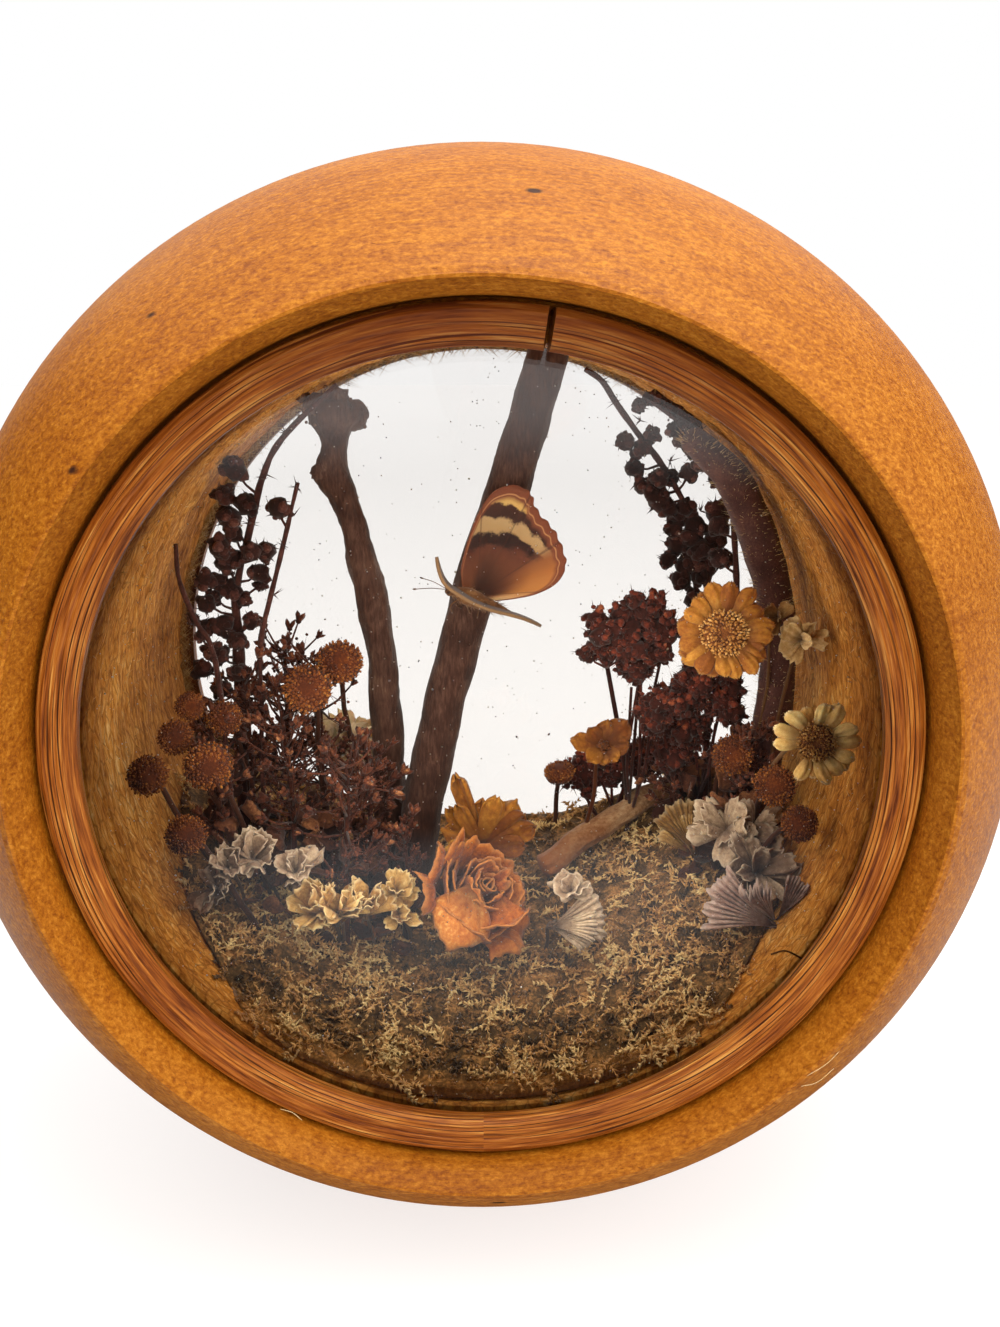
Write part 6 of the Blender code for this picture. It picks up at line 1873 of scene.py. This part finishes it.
# %% Floor, screens and lights
def stage_sheet(name, corners, code, glow=0.0, unseen=()):
    """A flat stage piece through four corners in metres; returns its shader and node function."""
    mesh = bpy.data.meshes.new(name)
    mesh.from_pydata(corners, [], [(0, 1, 2, 3)])
    finish, shader, add = new_finish(
        name, Roughness=1.0, Base_Color=linear(code), Specular_IOR_Level=0.0,
        Emission_Color=(1.0, 1.0, 1.0, 1.0), Emission_Strength=glow)
    mesh.materials.append(finish)
    made = bpy.data.objects.new(name, mesh)
    bpy.context.scene.collection.objects.link(made)
    for ray in unseen:
        setattr(made, "visible_" + ray, False)
    made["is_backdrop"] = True
    return shader, add


def upright(x0, y0, x1, y1, top):
    """Corners of an upright sheet over a line on the floor."""
    return [(x0, y0, 0.0), (x1, y1, 0.0), (x1, y1, top), (x0, y0, top)]


def level(x0, y0, x1, y1, height):
    """Corners of a level sheet."""
    return [(x0, y0, height), (x1, y0, height), (x1, y1, height), (x0, y1, height)]


FLOOR_GLOW_NEAR, FLOOR_GLOW_FAR = 0.76, 0.67
SCREEN_X, SCREEN_Y, SCREEN_HEIGHT = 0.5, -0.33, 0.5
FRONT_SCREEN_HEIGHT, FLAG_X = 0.62, -0.42
NEARLY_BLACK = "#0c0a09"
MIRROR_ONLY = ("camera", "diffuse", "shadow", "volume_scatter")
shader, add = stage_sheet("floor", level(-6, -6, 6, 6, -0.0004), "#9f9d9b", FLOOR_GLOW_NEAR)
far = add("VectorMath LENGTH", in_mm(add))
glow = add("MapRange", far, 350.0, 2500.0, FLOOR_GLOW_NEAR, FLOOR_GLOW_FAR)
feed(shader, Emission_Strength=glow)
shader, add = stage_sheet(
    "dark_screen_front", upright(-SCREEN_X, SCREEN_Y, SCREEN_X, SCREEN_Y, FRONT_SCREEN_HEIGHT),
    NEARLY_BLACK, 1.0, unseen=("camera", "shadow"))
height = add("SeparateXYZ", in_mm(add), out="Z")
paler = add("MapRange", height, 226.0, 310.0, 0.0, 1.0, interpolation_type="SMOOTHSTEP")
feed(shader, Emission_Strength=paler)
for side, x in (("left", -SCREEN_X), ("right", SCREEN_X)):
    stage_sheet(
        "dark_screen_" + side, upright(x, SCREEN_Y, x, 0.5, SCREEN_HEIGHT), NEARLY_BLACK, unseen=MIRROR_ONLY)
shader, add = stage_sheet(
    "dim_table", level(-SCREEN_X, SCREEN_Y, SCREEN_X, 0.0, 0.0002), "#1a1a1c", 1.0, unseen=MIRROR_ONLY)
lit = add("VectorMath ADD", in_mm(add, (1 / 170, 1 / 75, 0)), (0.0, 1.75, 0.0))
lit = add("MapRange", add("VectorMath LENGTH", lit), 1.0, 0.3, 0.0, 0.5, interpolation_type="SMOOTHSTEP")
feed(shader, Emission_Strength=lit)
shader.inputs["Emission Color"].default_value = (0.86, 0.94, 1.0, 1.0)
UNSEEN_LAMP = ("camera", "glossy", "transmission")
stage_sheet("black_flag", upright(FLAG_X, -0.4, FLAG_X, 0.3, 0.4), "#080706", unseen=UNSEEN_LAMP)

world = bpy.data.worlds.new("white_surround")
world.use_nodes = True
world.node_tree.nodes["Background"].inputs["Color"].default_value = (1.0, 1.0, 1.0, 1.0)
world.node_tree.nodes["Background"].inputs["Strength"].default_value = 1.0
bpy.context.scene.world = world


WARM_WHITE = (1.0, 0.93, 0.82)


def soft_light(name, place, target, size, watts, shape="SQUARE"):
    """A flat soft lamp that points at target."""
    lamp = bpy.data.lights.new(name, "AREA")
    lamp.shape = shape
    lamp.size = size
    lamp.energy = watts
    lamp.color = WARM_WHITE
    made = bpy.data.objects.new(name, lamp)
    made.location = place
    made.rotation_mode = "QUATERNION"
    made.rotation_quaternion = (Vector(target) - Vector(place)).to_track_quat("-Z", "Y")
    bpy.context.scene.collection.objects.link(made)
    return made


soft_light("overhead_softbox", (0.10, -0.12, 0.72), (0, 0, 0.09), 0.5, 2.9)
fill = soft_light("front_fill", (0.12, -0.5, 0.5), (0, 0, 0.09), 0.5, 3.6)
inner = soft_light("light_through_front_glass", (0, -0.031, 0.092), (0, 0.02, 0.080), 0.086, 0.056, "DISK")
low = soft_light("low_front_fill", (0.05, -0.55, 0.04), (0, 0, 0.11), 0.3, 0.8)
behind = soft_light("light_through_back_glass", (0, 0.0315, 0.092), (0, -0.02, 0.092), 0.10, 0.022, "DISK")
for lamp in (fill, inner, low, behind):
    for ray in UNSEEN_LAMP:
        setattr(lamp, "visible_" + ray, False)

# %% Sizes and finish
final_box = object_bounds()
for name, box in (("cad", cad_box), ("visual", final_box)):
    print(name, "box", [[round(v, 4) for v in corner] for corner in box])
